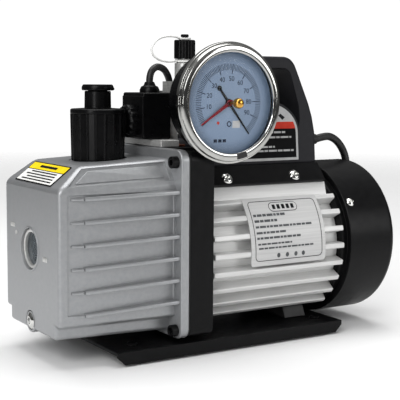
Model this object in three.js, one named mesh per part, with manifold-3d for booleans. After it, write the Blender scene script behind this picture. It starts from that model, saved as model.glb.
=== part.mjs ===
// Two-stage rotary vane vacuum pump with its drive motor, vacuum gauge, solenoid inlet valve and mains lead.
// Millimetres, +Z up. X runs along the pump from the oil case to the fan cover, and -Y is the gauge side.
// Every piece is placed in the pump frame: x = 0 is the end face of the oil case, y = 0 is the shaft's
// vertical plane, z = 0 is the underside of the feet. The last lines move the whole group so that its
// origin lies under the middle of the machine.
import * as THREE from "three";
import Module from "manifold-3d";
import { ConvexGeometry } from "three/addons/geometries/ConvexGeometry.js";
import { mergeVertices } from "three/addons/utils/BufferGeometryUtils.js";

const wasm = await Module();
wasm.setup();

// ---------- driving dimensions ----------
const GAP = 0.3; // clearance between pieces that touch
const SHAFT = { z: 69.4, radius: 7, joint: 95, end: 274 };

const CASE = {
  frontHalf: 46.8, // half width of the end face
  rearHalf: 52.5, // half width where the case meets its flange
  skirtHalf: 39.2,
  skirtRearHalf: 44.5,
  crestHalf: 38.7,
  crestRearHalf: 41,
  skirtZ: 19.8,
  stepZ: 33.3,
  shoulderZ: 122.8,
  shoulderRearZ: 125.5,
  crestZ: 137.8,
  crestRearZ: 141.3,
  slope: 19.6, // length of the sloped front of the crest
  wall: 4.6,
};
const FLANGE = { front: 86.8, rear: 93.6, half: 61.25, bottom: 13.7, top: 148, corner: 8 };
const GASKET = { front: 93.8, rear: 94.4 };
const BRACKET = { front: 94.6, rear: 113.6, footBottom: 11, footHalf: 46 };
const RIBS = { count: 6, firstZ: 36.9, lastZ: 116.6, firstRearZ: 41, lastRearZ: 118.7, thick: 2.6 };
const SIGHT = { y: 2, z: 77.6, radius: 14.6 };
const DRAIN = { y: 2, z: 25.9, radius: 6.9 };
const EXHAUST = { x: 52.8, bottom: 138.4, top: 175.6, radius: 19.8, neck: 9.4, neckTop: 188.3 };

const MODULE = { radius: 33, bore: 22, offset: 3, rotor: 18.6 };
const STAGES = [
  { name: "first_stage", from: 58.8, to: 94.2 },
  { name: "second_stage", from: 35.8, to: 52.4 },
];
const MID_PLATE = { from: 52.7, to: 58.5 };
const END_COVER = { from: 29.5, to: 35.5 };

const MOTOR = { front: 113.9, rear: 235.8, bore: 47, root: 50.6, tip: 59.6 };
const FIN = { front: 116.6, thick: 4.1, pitch: 13.2, first: 40.1, count: 8 }; // angles run down from first
const RAIL = { angle: 38.2, outer: 63, from: -26, to: -12.4 }; // rails that carry the handle box
const SHIELD = { front: 236.1, step: 241.6, rear: 252 };
const FAN_COVER = { front: 240.9, rear: 287.6, radius: 62, wall: 1.5, round: 6 };

const BASE = { front: 37.8, rear: 235.3, half: 59.3, bottom: 1.5, top: 10.7, sheet: 2.5, cut: 7 };
const FOOT = { x: [57.5, 221], y: 43, radius: 8, height: 7.9 };

const HANDLE = { half: 33, bottom: 133.5, top: 215, flangeFront: 118, flangeRear: 228, topScale: 0.8 };
const LABEL = { low: 135.8, side: 157, middle: 180.3, half: 29.3, rise: 22.5 }; // a half ellipse on a block

const GAUGE = { x: 123.2, z: 180.7, front: -69.6, back: -38.5, radius: 42.8, can: 35.6, opening: 35.3 };
const DIAL_Y = -64;
const KNOB = { front: -79.6, radius: 3.7 }; // brass knob on the gauge glass, the foremost point
const TEE = { x: 123.3, y: -4, radius: 7.5, bottom: 160, shoulder: 211.8, tube: 5, tubeTop: 218.4 };
const CAP = { bottom: 212.2, top: 226.2, radius: 8, bore: 5.6, knobTop: 230.4, knob: 3 };
const VALVE = { front: 105.2, rear: 114.5, low: 148.3, high: 195.5, near: -9, far: 9, axisZ: 166.4 };
const COIL_BOX = { front: 81.5, rear: 104.9, half: 15.7, low: 153.5, high: 187.2 };
const LEAD = { radius: 3.2, coilX: 190, coilY: 118, coilRing: 35.1, bundleHalf: 10.5, bundleHeight: 13 };
// Lead from the valve coil over the valve and down into the top of the handle box.
const VALVE_LEAD = [
  [95.5, 0, 187.7],
  [95.5, 0, 193],
  [95.8, 0.2, 198.4],
  [97.8, 0.8, 203],
  [102.8, 2.2, 206],
  [109.4, 4.4, 204.8],
  [115, 7.8, 200.8],
  [119.2, 11.4, 195.4],
  [121.8, 14.4, 188.5],
  [123.6, 16.4, 180],
  [124.9, 17.2, 170],
  [125.7, 17.3, 160],
  [126, 17.2, 153],
  [126, 17.2, 147.5],
];
const PLUG = { rear: 129, y: 79.3, z: 17.3, radius: 17, bootEnd: 159.2, bootZ: 9.8 };

// ---------- solids ----------
const X = "x";
const Y = "y";
const Z = "z";
const TURNS = { x: [0, 0, -Math.PI / 2], y: [0, 0, 0], z: [Math.PI / 2, 0, 0] };

// A closed three.js geometry as a manifold solid.
function solid(geometry) {
  const bare = geometry.index ? geometry.toNonIndexed() : geometry.clone();
  bare.deleteAttribute("normal");
  bare.deleteAttribute("uv");
  const merged = mergeVertices(bare, 1e-4);
  const corners = merged.index.array;
  const kept = [];
  for (let i = 0; i < corners.length; i += 3) {
    const [a, b, c] = corners.slice(i, i + 3);
    if (a !== b && b !== c && c !== a) kept.push(a, b, c);
  }
  const vertProperties = merged.attributes.position.array;
  const triVerts = new Uint32Array(kept);
  return new wasm.Manifold(new wasm.Mesh({ numProp: 3, vertProperties, triVerts }));
}

// A manifold solid as a three.js geometry with flat faces.
function geometryOf(shape) {
  const mesh = shape.getMesh();
  const geometry = new THREE.BufferGeometry();
  geometry.setAttribute("position", new THREE.BufferAttribute(mesh.vertProperties, 3));
  geometry.setIndex(new THREE.BufferAttribute(mesh.triVerts, 1));
  geometry.computeVertexNormals();
  return geometry;
}

const join = (shapes) => shapes.reduce((whole, shape) => whole.add(shape));
const cut = (shape, tools) => tools.reduce((left, tool) => left.subtract(tool), shape);

// A block between two values on each axis.
function block([x0, x1], [y0, y1], [z0, z1]) {
  const geometry = new THREE.BoxGeometry(x1 - x0, y1 - y0, z1 - z0);
  return solid(geometry.translate((x0 + x1) / 2, (y0 + y1) / 2, (z0 + z1) / 2));
}

// The convex solid around a list of [x, y, z] corners.
const hull = (corners) => solid(new ConvexGeometry(corners.map((p) => new THREE.Vector3(...p))));

// A profile of [radius, distance along the axis] turned about an axis through a point.
function turned(profile, axis, [x, y, z], sides = 28) {
  const points = profile.map(([radius, along]) => new THREE.Vector2(radius, along));
  const geometry = new THREE.LatheGeometry(points, sides);
  geometry.rotateX(TURNS[axis][0]);
  geometry.rotateZ(TURNS[axis][2]);
  return solid(geometry.translate(x, y, z));
}

// A plain rod or disc between two distances along its axis.
const rod = (radius, from, to, axis, centre, sides = 28) =>
  turned([[0, from], [radius, from], [radius, to], [0, to]], axis, centre, sides);

// A ring with a plain bore.
const ring = (inner, outer, from, to, axis, centre, sides = 28) =>
  turned([[inner, from], [outer, from], [outer, to], [inner, to], [inner, from]], axis, centre, sides);

// An outline drawn in the Y-Z plane, pushed along X from one value to the other.
function alongX(shape, from, to, curveSegments = 6) {
  const geometry = new THREE.ExtrudeGeometry(shape, { depth: to - from, bevelEnabled: false, curveSegments });
  return solid(geometry.rotateZ(Math.PI / 2).rotateY(Math.PI / 2).translate(from, 0, 0));
}

// An outline drawn in the X-Z plane, pushed along Y from one value to the other.
function alongY(shape, from, to, curveSegments = 6) {
  const geometry = new THREE.ExtrudeGeometry(shape, { depth: to - from, bevelEnabled: false, curveSegments });
  return solid(geometry.rotateX(Math.PI / 2).translate(0, to, 0));
}

// A round bar along a smooth curve through points.
function bar(points, radius, steps, sides = 8) {
  const section = new THREE.Shape();
  for (let i = 0; i < sides; i += 1) {
    const turn = (2 * Math.PI * i) / sides;
    section[i ? "lineTo" : "moveTo"](radius * Math.cos(turn), radius * Math.sin(turn));
  }
  const path = new THREE.CatmullRomCurve3(points.map((p) => new THREE.Vector3(...p)), false, "centripetal");
  return solid(new THREE.ExtrudeGeometry(section, { extrudePath: path, steps, bevelEnabled: false }));
}

function polygon(points) {
  return new THREE.Shape(points.map(([a, b]) => new THREE.Vector2(a, b)));
}

function roundedRectangle(left, right, low, high, corner) {
  const shape = new THREE.Shape();
  shape.moveTo(left + corner, low);
  shape.lineTo(right - corner, low);
  shape.absarc(right - corner, low + corner, corner, -Math.PI / 2, 0);
  shape.lineTo(right, high - corner);
  shape.absarc(right - corner, high - corner, corner, 0, Math.PI / 2);
  shape.lineTo(left + corner, high);
  shape.absarc(left + corner, high - corner, corner, Math.PI / 2, Math.PI);
  shape.lineTo(left, low + corner);
  shape.absarc(left + corner, low + corner, corner, Math.PI, 1.5 * Math.PI);
  return shape;
}

const bothSides = (make) => [-1, 1].map(make);
const radians = (degrees) => (degrees * Math.PI) / 180;
const between = (a, b, share) => a + (b - a) * share;
const ON_SHAFT = [0, 0, SHAFT.z];
const ON_VALVE = [0, 0, VALVE.axisZ];

// ---------- finishes and parts ----------
const FINISHES = {
  cast: { color: 0x9b9d9f, roughness: 0.5, metalness: 0.35 },
  aluminium: { color: 0xc9cbcc, roughness: 0.42, metalness: 0.7 },
  steel: { color: 0xa9abad, roughness: 0.35, metalness: 0.9 },
  chrome: { color: 0xd8d8d8, roughness: 0.12, metalness: 1 },
  blackPaint: { color: 0x16171a, roughness: 0.45, metalness: 0.1 },
  blackPlastic: { color: 0x111214, roughness: 0.5, metalness: 0 },
  rubber: { color: 0x141414, roughness: 0.8, metalness: 0 },
  brass: { color: 0xc79a3f, roughness: 0.25, metalness: 1 },
  copper: { color: 0xb06a45, roughness: 0.35, metalness: 0.9 },
  glass: { color: 0xd5e4ea, roughness: 0.05, metalness: 0, transparent: true, opacity: 0.3 },
  dial: { color: 0x8fa2ba, roughness: 0.6, metalness: 0 },
  whitePlastic: { color: 0xe8e8e4, roughness: 0.5, metalness: 0 },
  redPaint: { color: 0x8c1d26, roughness: 0.45, metalness: 0 },
  label: { color: 0xd9d9d6, roughness: 0.5, metalness: 0.1 },
  carbon: { color: 0x2c2d30, roughness: 0.6, metalness: 0.1 },
};

const pump = new THREE.Group();

function add(name, finish, shape) {
  const mesh = new THREE.Mesh(geometryOf(shape), new THREE.MeshStandardMaterial(FINISHES[finish]));
  mesh.name = name;
  pump.add(mesh);
}

// ---------- oil case ----------
// The convex body between the end face and the flange, made smaller by a wall for the hollow.
function caseBody(inset, front, rear) {
  const at = (share) => ({
    half: between(CASE.frontHalf, CASE.rearHalf, share) - inset,
    crest: between(CASE.crestHalf, CASE.crestRearHalf, share) - inset * 0.8,
    shoulder: between(CASE.shoulderZ, CASE.shoulderRearZ, share) - inset * 0.6,
  });
  const [start, end] = [at(0), at(1)];
  const step = CASE.stepZ + inset;
  return hull(
    bothSides((side) => [
      [front, side * start.half, step],
      [front, side * start.half, start.shoulder],
      [front + CASE.slope, side * start.crest, CASE.crestZ - inset],
      [rear, side * end.half, step],
      [rear, side * end.half, end.shoulder],
      [rear, side * end.crest, CASE.crestRearZ - inset],
    ]).flat(),
  );
}

function caseSkirt(inset, front, rear) {
  return hull(
    bothSides((side) => [
      [front, side * (CASE.skirtHalf - inset), CASE.skirtZ + inset],
      [front, side * (CASE.skirtHalf - inset), CASE.stepZ + 12],
      [rear, side * (CASE.skirtRearHalf - inset), CASE.skirtZ - 1.3 + inset],
      [rear, side * (CASE.skirtRearHalf - inset), CASE.stepZ + 12],
    ]).flat(),
  );
}

// One cooling rib on a side of the case: it starts flush with the panel and grows towards the flange.
function caseRib(side, index) {
  const share = index / (RIBS.count - 1);
  const z0 = between(RIBS.firstZ, RIBS.lastZ, share);
  const z1 = between(RIBS.firstRearZ, RIBS.lastRearZ, share);
  const outline = [
    [9, 45, z0],
    [9, 46.6, z0],
    [17.5, 50.4, z0],
    [FLANGE.front + 1, 59.6, z1],
    [FLANGE.front + 1, 45, z1],
  ];
  const faces = bothSides((edge) => outline.map(([x, y, z]) => [x, side * y, z + (edge * RIBS.thick) / 2]));
  return hull(faces.flat());
}

// The shallow panels let into both sides and both upper slopes of the case.
function sidePanel(side) {
  const depth = 1.3;
  const atX = (x) => between(CASE.frontHalf, CASE.rearHalf, x / FLANGE.front);
  const corners = [7, FLANGE.front - 0.5].flatMap((x) =>
    [37.5, 119.5].flatMap((z) => [-depth, 6].map((out) => [x, side * (atX(x) + out), z])),
  );
  return hull(corners);
}

function slopePanel(side) {
  const [low, high, depth] = [0.2, 0.82, 1.1];
  const corners = [
    [12, low],
    [23.5, high],
    [FLANGE.front - 4, low],
    [FLANGE.front - 8, high],
  ].flatMap(([x, up]) => {
    const share = x / FLANGE.front;
    const y = between(between(CASE.frontHalf, CASE.rearHalf, share), between(38, 40.7, share), up);
    const z = between(between(122.8, 125.5, share), between(137.4, 141.3, share), up);
    return [-depth, 5].map((out) => [x, side * (y + 0.84 * out), z + 0.54 * out]);
  });
  return hull(corners);
}

const flangeOutline = () =>
  roundedRectangle(-FLANGE.half, FLANGE.half, FLANGE.bottom, FLANGE.top, FLANGE.corner);

function makeOilCase() {
  const outside = join([
    caseBody(0, 0, FLANGE.front + 1),
    caseSkirt(0, 0, FLANGE.front + 1),
    alongX(flangeOutline(), FLANGE.front, FLANGE.rear),
    rod(8.4, 0, 14, X, [0, DRAIN.y, DRAIN.z], 24),
  ]);
  const recessed = cut(outside, [
    ...bothSides(sidePanel),
    ...bothSides(slopePanel),
    rod(EXHAUST.radius + 1, EXHAUST.bottom - GAP, 150, Z, [EXHAUST.x, 0, 0]),
  ]);
  const ribs = bothSides((side) => Array.from({ length: RIBS.count }, (_, i) => caseRib(side, i)));
  return cut(join([recessed, ...ribs.flat()]), [
    caseBody(CASE.wall, CASE.wall, FLANGE.rear + 1),
    caseSkirt(CASE.wall, 14.5, FLANGE.rear + 1),
    rod(SIGHT.radius, -1, 8, X, [0, SIGHT.y, SIGHT.z], 32),
    rod(DRAIN.radius + GAP, -1, 3.2, X, [0, DRAIN.y, DRAIN.z], 24),
    rod(4.2, -1, 20, X, [0, DRAIN.y, DRAIN.z], 16),
    rod(12.6, 120, 145, Z, [EXHAUST.x, 0, 0], 24),
  ]);
}

function makeCaseGasket() {
  const sheet = alongX(flangeOutline(), GASKET.front, GASKET.rear);
  const window = alongX(roundedRectangle(-46, 46, 26, 128, 8), GASKET.front - 1, GASKET.rear + 1);
  return cut(sheet, [window]);
}

const SIGHT_CENTRE = [0, SIGHT.y, SIGHT.z];
const DRAIN_CENTRE = [0, DRAIN.y, DRAIN.z];

add("oil_case", "cast", makeOilCase());
add("case_gasket", "rubber", makeCaseGasket());
add("sight_glass_ring", "aluminium", ring(11.8, SIGHT.radius - GAP, 1.2, 3.6, X, SIGHT_CENTRE, 32));
add("sight_glass", "glass", rod(SIGHT.radius - 0.4, 3.9, 7.3, X, SIGHT_CENTRE, 32));
const DRAIN_PROFILE = [
  [0, -1.6],
  [3.4, -1.2],
  [5.8, 0],
  [DRAIN.radius, 1.6],
  [DRAIN.radius, 2.4],
  [3.9, 2.4],
  [3.9, 12],
  [0, 12],
];
add("drain_plug", "chrome", turned(DRAIN_PROFILE, X, DRAIN_CENTRE, 24));

// A thin plate lying on the sloped front of the crest.
function makeNoticePlate() {
  const steep = Math.atan2(CASE.crestZ - CASE.shoulderZ, CASE.slope);
  const [along, up] = [Math.cos(steep), Math.sin(steep)];
  const point = (distance, y, lift) => [
    distance * along - lift * up,
    y,
    CASE.shoulderZ + distance * up + lift * along,
  ];
  const corners = [2.2, 22.6].flatMap((distance) =>
    [-30.5, 31].flatMap((y) => [GAP, GAP + 0.4].map((lift) => point(distance, y, lift))),
  );
  return hull(corners);
}
add("notice_plate", "label", makeNoticePlate());

// ---------- exhaust filter ----------
const EXHAUST_CENTRE = [EXHAUST.x, 0, 0];
const FILTER_PROFILE = [
  [9.5, 127],
  [12.2, 127],
  [12.2, EXHAUST.bottom],
  [EXHAUST.radius * 0.95, EXHAUST.bottom],
  [EXHAUST.radius, EXHAUST.top],
  [EXHAUST.neck, EXHAUST.top + 0.6],
  [EXHAUST.neck, EXHAUST.neckTop],
  [7.4, EXHAUST.neckTop],
  [7.4, 172],
  [17.4, 172],
  [16.6, 141],
  [9.5, 141],
  [9.5, 127],
];
add("exhaust_filter", "blackPlastic", turned(FILTER_PROFILE, Z, EXHAUST_CENTRE));
const FILL_CAP_PROFILE = [[0, 180], [7, 180], [7, 188.6], [11.5, 188.6], [11.5, 192], [10.6, 193], [0, 193]];
add("exhaust_cap", "blackPlastic", turned(FILL_CAP_PROFILE, Z, EXHAUST_CENTRE));

// ---------- two-stage pump inside the case ----------
const BORE_CENTRE = [0, 0, SHAFT.z - MODULE.offset];

function makeStator({ from, to }) {
  const body = rod(MODULE.radius, from, to, X, ON_SHAFT);
  return cut(body, [rod(MODULE.bore, from - 1, to + 1, X, BORE_CENTRE, 32)]);
}

// Both rotors and their journals are one turned piece, with a slot through each rotor for its vanes.
function makePumpRotor() {
  const journals = rod(SHAFT.radius, END_COVER.from - 3, SHAFT.joint - GAP, X, ON_SHAFT, 20);
  const drums = STAGES.map(({ from, to }) => rod(MODULE.rotor, from + GAP, to - GAP, X, ON_SHAFT));
  const slots = STAGES.map(({ from, to }) =>
    block([from + GAP, to - GAP], [-2.1, 2.1], [SHAFT.z - MODULE.rotor - 1, SHAFT.z + MODULE.rotor + 1]),
  );
  return cut(join([journals, ...drums]), slots);
}

// A stage's two vanes and the springs between them. They lie back in the slot, inside the rotor's outline,
// so that the rotor can turn a full turn in its offset bore.
function makeVanes({ from, to }) {
  const blades = bothSides((side) => {
    const [low, high] = [side * 8, side * 18.2].sort((a, b) => a - b);
    return block([from + 0.8, to - 0.8], [-1.8, 1.8], [SHAFT.z + low, SHAFT.z + high]);
  });
  const springs = [0.3, 0.7].map((share) =>
    rod(1.3, -8.5, 8.5, Z, [between(from, to, share), 0, SHAFT.z], 12),
  );
  return join([...blades, ...springs]);
}

add("pump_rotor", "steel", makePumpRotor());
for (const stage of STAGES) {
  add(`${stage.name}_stator`, "steel", makeStator(stage));
  add(`${stage.name}_vanes`, "carbon", makeVanes(stage));
}
const modulePlate = ({ from, to }) => ring(SHAFT.radius + GAP, MODULE.radius, from, to, X, ON_SHAFT);
add("mid_plate", "steel", modulePlate(MID_PLATE));
add("pump_end_cover", "steel", modulePlate(END_COVER));

// ---------- bracket, seal and bearings ----------
function makeBracket() {
  const body = join([
    alongX(flangeOutline(), BRACKET.front, BRACKET.rear),
    block([BRACKET.front, BRACKET.rear], [-BRACKET.footHalf, BRACKET.footHalf], [BRACKET.footBottom, 24]),
  ]);
  const gaugeNotch = block([BRACKET.front - 1, BRACKET.rear + 1], [-62, -36], [145.9, 150]);
  return cut(body, [rod(13.3, 90, 120, X, ON_SHAFT), rod(18, 102, 120, X, ON_SHAFT), gaugeNotch]);
}
add("pump_bracket", "blackPaint", makeBracket());
add("shaft_seal", "rubber", ring(SHAFT.radius + GAP, 12.8, 95.2, 101.4, X, ON_SHAFT));
add("front_bearing", "steel", ring(SHAFT.radius + GAP, 17.6, 102.3, 113.3, X, ON_SHAFT));
add("drive_shaft", "steel", rod(SHAFT.radius, SHAFT.joint, SHAFT.end, X, ON_SHAFT, 20));

// ---------- motor ----------
// Angles are measured from the gauge side (-Y) upwards, and the fins are alike on both sides.
const FIN_ANGLES = Array.from({ length: FIN.count }, (_, step) => FIN.first - step * FIN.pitch);

function fin(side, angle) {
  const [inner, outer] = [MOTOR.root - 1.5, MOTOR.tip];
  const half = FIN.thick / 2;
  const [cos, sin] = [Math.cos(radians(angle)), Math.sin(radians(angle))];
  const place = (radius, across) => [
    side * (radius * cos - across * sin),
    SHAFT.z + radius * sin + across * cos,
  ];
  const outline = [
    [inner, half * 1.15],
    [outer, half],
    [outer, -half],
    [inner, -half * 1.15],
  ];
  return hull([FIN.front, MOTOR.rear].flatMap((x) => outline.map(([r, a]) => [x, ...place(r, a)])));
}

// Corners of a bar that lies on the handle's sloped seat: across runs down the slope, out is its normal.
function onRail(side, out, across) {
  const [cos, sin] = [Math.cos(radians(RAIL.angle)), Math.sin(radians(RAIL.angle))];
  return [side * (out * cos + across * sin), SHAFT.z + out * sin - across * cos];
}

function railBar(side, [x0, x1], [low, high], [from, to]) {
  const section = [
    [low, from],
    [high, from],
    [high, to],
    [low, to],
  ];
  return hull([x0, x1].flatMap((x) => section.map(([out, across]) => [x, ...onRail(side, out, across)])));
}

// A solid rail under each flange of the handle box. Its outer face drops to the first fin.
function rail(side) {
  const polar = (radius, angle) => [
    side * radius * Math.cos(radians(angle)),
    SHAFT.z + radius * Math.sin(radians(angle)),
  ];
  const section = [
    onRail(side, RAIL.outer, RAIL.from),
    onRail(side, RAIL.outer, RAIL.to),
    polar(MOTOR.tip, FIN.first + 1.6),
    polar(MOTOR.root - 1.5, FIN.first),
    polar(MOTOR.root - 1.5, FIN.first + 22),
  ];
  return hull([MOTOR.front, MOTOR.rear - 3].flatMap((x) => section.map((point) => [x, ...point])));
}

function makeMotorHousing() {
  const tubeRing = ring(MOTOR.bore - 2, MOTOR.root, MOTOR.front, MOTOR.rear, X, ON_SHAFT, 48);
  const fins = bothSides((side) => FIN_ANGLES.map((angle) => fin(side, angle)));
  const rails = bothSides(rail);
  const topFins = [78, 90, 102].map((angle) => fin(-1, angle));
  const body = join([tubeRing, ...fins.flat(), ...rails, ...topFins]);
  return cut(body, [rod(MOTOR.bore, MOTOR.front - 1, MOTOR.rear + 1, X, ON_SHAFT, 48)]);
}

add("motor_housing", "aluminium", makeMotorHousing());
// Stack of laminations with the end turns of the windings on both faces.
function makeMotorStator() {
  return join([
    ring(29.4, MOTOR.bore - GAP - 0.2, 135, 205, X, ON_SHAFT, 32),
    ring(31, 44, 121, 136, X, ON_SHAFT, 32),
    ring(31, 44, 204, 221, X, ON_SHAFT, 32),
  ]);
}
add("motor_stator", "copper", makeMotorStator());
add("motor_rotor", "steel", ring(SHAFT.radius + GAP, 28.9, 133, 207, X, ON_SHAFT, 32));

const SHIELD_PROFILE = [
  [17.9, SHIELD.front],
  [56.5, SHIELD.front],
  [56.5, SHIELD.step],
  [60.1, SHIELD.step],
  [60.1, SHIELD.rear],
  [55, SHIELD.rear],
  [55, 246],
  [22, 246],
  [22, SHIELD.rear + 1],
  [8, SHIELD.rear + 1],
  [8, 249.3],
  [17.9, 249.3],
  [17.9, SHIELD.front],
];
add("rear_end_shield", "blackPaint", turned(SHIELD_PROFILE, X, ON_SHAFT, 40));
add("rear_bearing", "steel", ring(SHAFT.radius + GAP, 17.6, 238, 249, X, ON_SHAFT));

function makeFan() {
  const hub = ring(SHAFT.radius + GAP, 15, 256, 272, X, ON_SHAFT, 20);
  const disc = ring(14, 50, 256, 258.4, X, ON_SHAFT, 32);
  const blade = (turn) => {
    const flat = new THREE.BoxGeometry(12, 2.4, 36);
    flat.translate(264, 0, 31.5).rotateX(turn).translate(0, 0, SHAFT.z);
    return solid(flat);
  };
  const blades = Array.from({ length: 8 }, (_, i) => blade((i * Math.PI) / 4));
  return join([hub, disc, ...blades]);
}
add("cooling_fan", "blackPlastic", makeFan());

function makeFanCover() {
  const { front, rear, radius, wall, round } = FAN_COVER;
  const arc = (reach, end) =>
    [0, 1, 2, 3].map((step) => {
      const turn = (step * Math.PI) / 6;
      return [radius - round + reach * Math.cos(turn), end - reach + reach * Math.sin(turn)];
    });
  const outer = [[radius, front], ...arc(round, rear), [0, rear]];
  const inner = [[0, rear - wall], ...arc(round - wall, rear - wall).reverse(), [radius - wall, front]];
  const shell = turned([...outer, ...inner, [radius, front]], X, ON_SHAFT, 48);
  const slots = [20, 31, 42].flatMap((middle) => {
    const count = middle === 20 ? 6 : 8;
    return Array.from({ length: count }, (_, i) => {
      const opening = new THREE.BoxGeometry(10, 4.4, 9);
      opening.translate(rear, 0, middle).rotateX((2 * Math.PI * (i + 0.5)) / count).translate(0, 0, SHAFT.z);
      return solid(opening);
    });
  });
  return cut(shell, slots);
}
add("fan_cover", "blackPaint", makeFanCover());

// The rating plate bends round the fin tips on the gauge side.
function makeNameplate() {
  const [inner, outer] = [MOTOR.tip + GAP, MOTOR.tip + GAP + 0.6];
  const [low, high] = [-8.5, 41.5];
  const side = (radius, angle) => [-radius * Math.cos(radians(angle)), radius * Math.sin(radians(angle))];
  const angles = Array.from({ length: 10 }, (_, i) => between(low, high, i / 9));
  const outline = [...angles.map((a) => side(outer, a)), ...angles.reverse().map((a) => side(inner, a))];
  const strip = alongX(polygon(outline), 147.5, 216.5);
  return strip.translate(0, 0, SHAFT.z);
}
add("nameplate", "label", makeNameplate());

// ---------- base ----------
function makeBasePlate() {
  const { front, rear, half, bottom, top, sheet, cut: corner } = BASE;
  const channel = cut(block([front, rear], [-half, half], [bottom, top]), [
    block([front - 1, rear + 1], [-half + sheet, half - sheet], [bottom - 1, top - sheet]),
  ]);
  const cornerCuts = bothSides((side) =>
    [[front, 1], [rear, -1]].map(([end, inward]) =>
      hull(
        bothSides((edge) => [
          [end - inward, side * (half - 1.2 + edge * 3), bottom - 1],
          [end - inward, side * (half - 1.2 + edge * 3), top - sheet],
          [end + inward * corner, side * (half - 1.2 + edge * 3), bottom - 1],
        ]).flat(),
      ),
    ),
  );
  return cut(channel, cornerCuts.flat());
}
add("base_plate", "blackPaint", makeBasePlate());

const FOOT_PROFILE = [
  [0, 0],
  [FOOT.radius - 0.8, 0],
  [FOOT.radius, 1.4],
  [FOOT.radius - 1, FOOT.height],
  [0, FOOT.height],
];
for (const [end, x] of [["front", FOOT.x[0]], ["rear", FOOT.x[1]]]) {
  add(`rubber_foot_${end}_near`, "rubber", turned(FOOT_PROFILE, Z, [x, -FOOT.y, 0], 20));
  add(`rubber_foot_${end}_far`, "rubber", turned(FOOT_PROFILE, Z, [x, FOOT.y, 0], 20));
}

// A saddle bolted to the base carries the rear of the motor.
function makeMotorSaddle() {
  const corners = [199, 219].flatMap((x) =>
    bothSides((side) => [
      [x, side * 34, BASE.top + GAP],
      [x, side * 28, 24],
    ]).flat(),
  );
  return cut(hull(corners), [rod(MOTOR.root + GAP, 190, 230, X, ON_SHAFT, 48)]);
}
add("motor_saddle", "blackPaint", makeMotorSaddle());

// ---------- handle box ----------
// The side view of the grip and the terminal box under it.
const HANDLE_OUTLINE = [
  [HANDLE.flangeFront, 131.8],
  [HANDLE.flangeRear, 131.8],
  [HANDLE.flangeRear, 156.7],
  [223, 178.7],
  [210.3, 209.5],
  [206.5, 213.4],
  [201, HANDLE.top],
  [160, HANDLE.top],
  [154, 212.6],
  [151, 208.5],
  [141.5, 178.7],
  [138.5, 156.7],
  [136, 151],
  [HANDLE.flangeFront, 149],
];

// Points along the upper part of an ellipse about the middle of the label, from right to left.
function archPoints(half, rise, start, steps) {
  return Array.from({ length: steps + 1 }, (_, i) => {
    const turn = between(radians(start), Math.PI - radians(start), i / steps);
    return [LABEL.middle + half * Math.cos(turn), LABEL.side + rise * Math.sin(turn)];
  });
}

// The opening's lower edge follows the arch of the label.
const HAND_OPENING = [
  ...archPoints(LABEL.half + 2.2, LABEL.rise + 2.2, 8, 14).reverse(),
  [212.6, 168],
  [211.9, 178],
  [208.6, 190],
  [205, 202.5],
  [202.5, 205.5],
  [198.5, 206.3],
  [163, 206.3],
  [159, 205.5],
  [156.5, 202.5],
  [152.4, 190],
  [149, 178],
  [148.4, 168],
];

// The side walls lean in towards the top.
function leanIn(shape) {
  return shape.warp((point) => {
    const share = Math.max(0, (point[2] - HANDLE.bottom) / (HANDLE.top - HANDLE.bottom));
    point[1] *= between(1, HANDLE.topScale, share);
  });
}

function makeHandleBox() {
  const grip = leanIn(alongY(polygon(HANDLE_OUTLINE), -HANDLE.half, HANDLE.half).refine(1));
  const [seatTop, seatLow] = [onRail(1, 66.3, -29.4), onRail(1, 63.3, RAIL.to)];
  const { flangeFront, flangeRear } = HANDLE;
  const flanges = bothSides((side) =>
    railBar(side, [flangeFront, flangeRear], [63.3, 66.3], [-29.4, RAIL.to]),
  );
  const endOutline = polygon([
    [-seatLow[0], seatLow[1]],
    [seatLow[0], seatLow[1]],
    [seatTop[0], seatTop[1]],
    [-seatTop[0], seatTop[1]],
  ]);
  const ends = [flangeFront, flangeRear - 3.5].map((x) => alongX(endOutline, x, x + 3.5));
  const motorSpace = [
    rod(MOTOR.tip + 0.5, 100, 240, X, ON_SHAFT, 48),
    ...bothSides((side) => railBar(side, [100, 240], [40, 63.3], [-30, -6])),
  ];
  return cut(join([grip, ...flanges, ...ends]), [
    ...motorSpace,
    block([121.5, 224.5], [-30, 30], [120, 146]),
    block([142, 221.5], [-27, 27], [140, 156]),
    block([150.3, 208.5], [-27, 27], [150, 162]),
    alongY(polygon(HAND_OPENING), -50, 50),
    rod(5, 215, 235, X, [0, 0, 149], 16),
    block([164, 186], [20, 45], [139.5, 152.5]),
    rod(3.3, 144, 155, Z, [...VALVE_LEAD.at(-1).slice(0, 2), 0], 16),
  ]);
}
add("handle_box", "blackPaint", makeHandleBox());

// The printed panel under the hand opening follows the arch of the opening.
function makeHandleLabel() {
  const { low, middle, half, rise } = LABEL;
  const outline = polygon([[middle - half, low], [middle + half, low], ...archPoints(half, rise, 0, 14)]);
  return leanIn(alongY(outline, -HANDLE.half - GAP - 0.5, -HANDLE.half - GAP).refine(1));
}
add("handle_label", "label", makeHandleLabel());

add("start_capacitor", "blackPlastic", rod(14, 151.5, 207.5, X, [0, -8, 146.5], 24));

// Rocker switch on the far side of the box.
function makeSwitchBezel() {
  const frame = block([162, 188], [33.3, 34.8], [137.5, 154.5]);
  const barrel = block([164.4, 185.6], [21, 33.6], [139.9, 152.1]);
  return cut(join([frame, barrel]), [block([166, 184], [22.5, 40], [141.4, 150.6])]);
}
add("switch_bezel", "blackPlastic", makeSwitchBezel());

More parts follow.
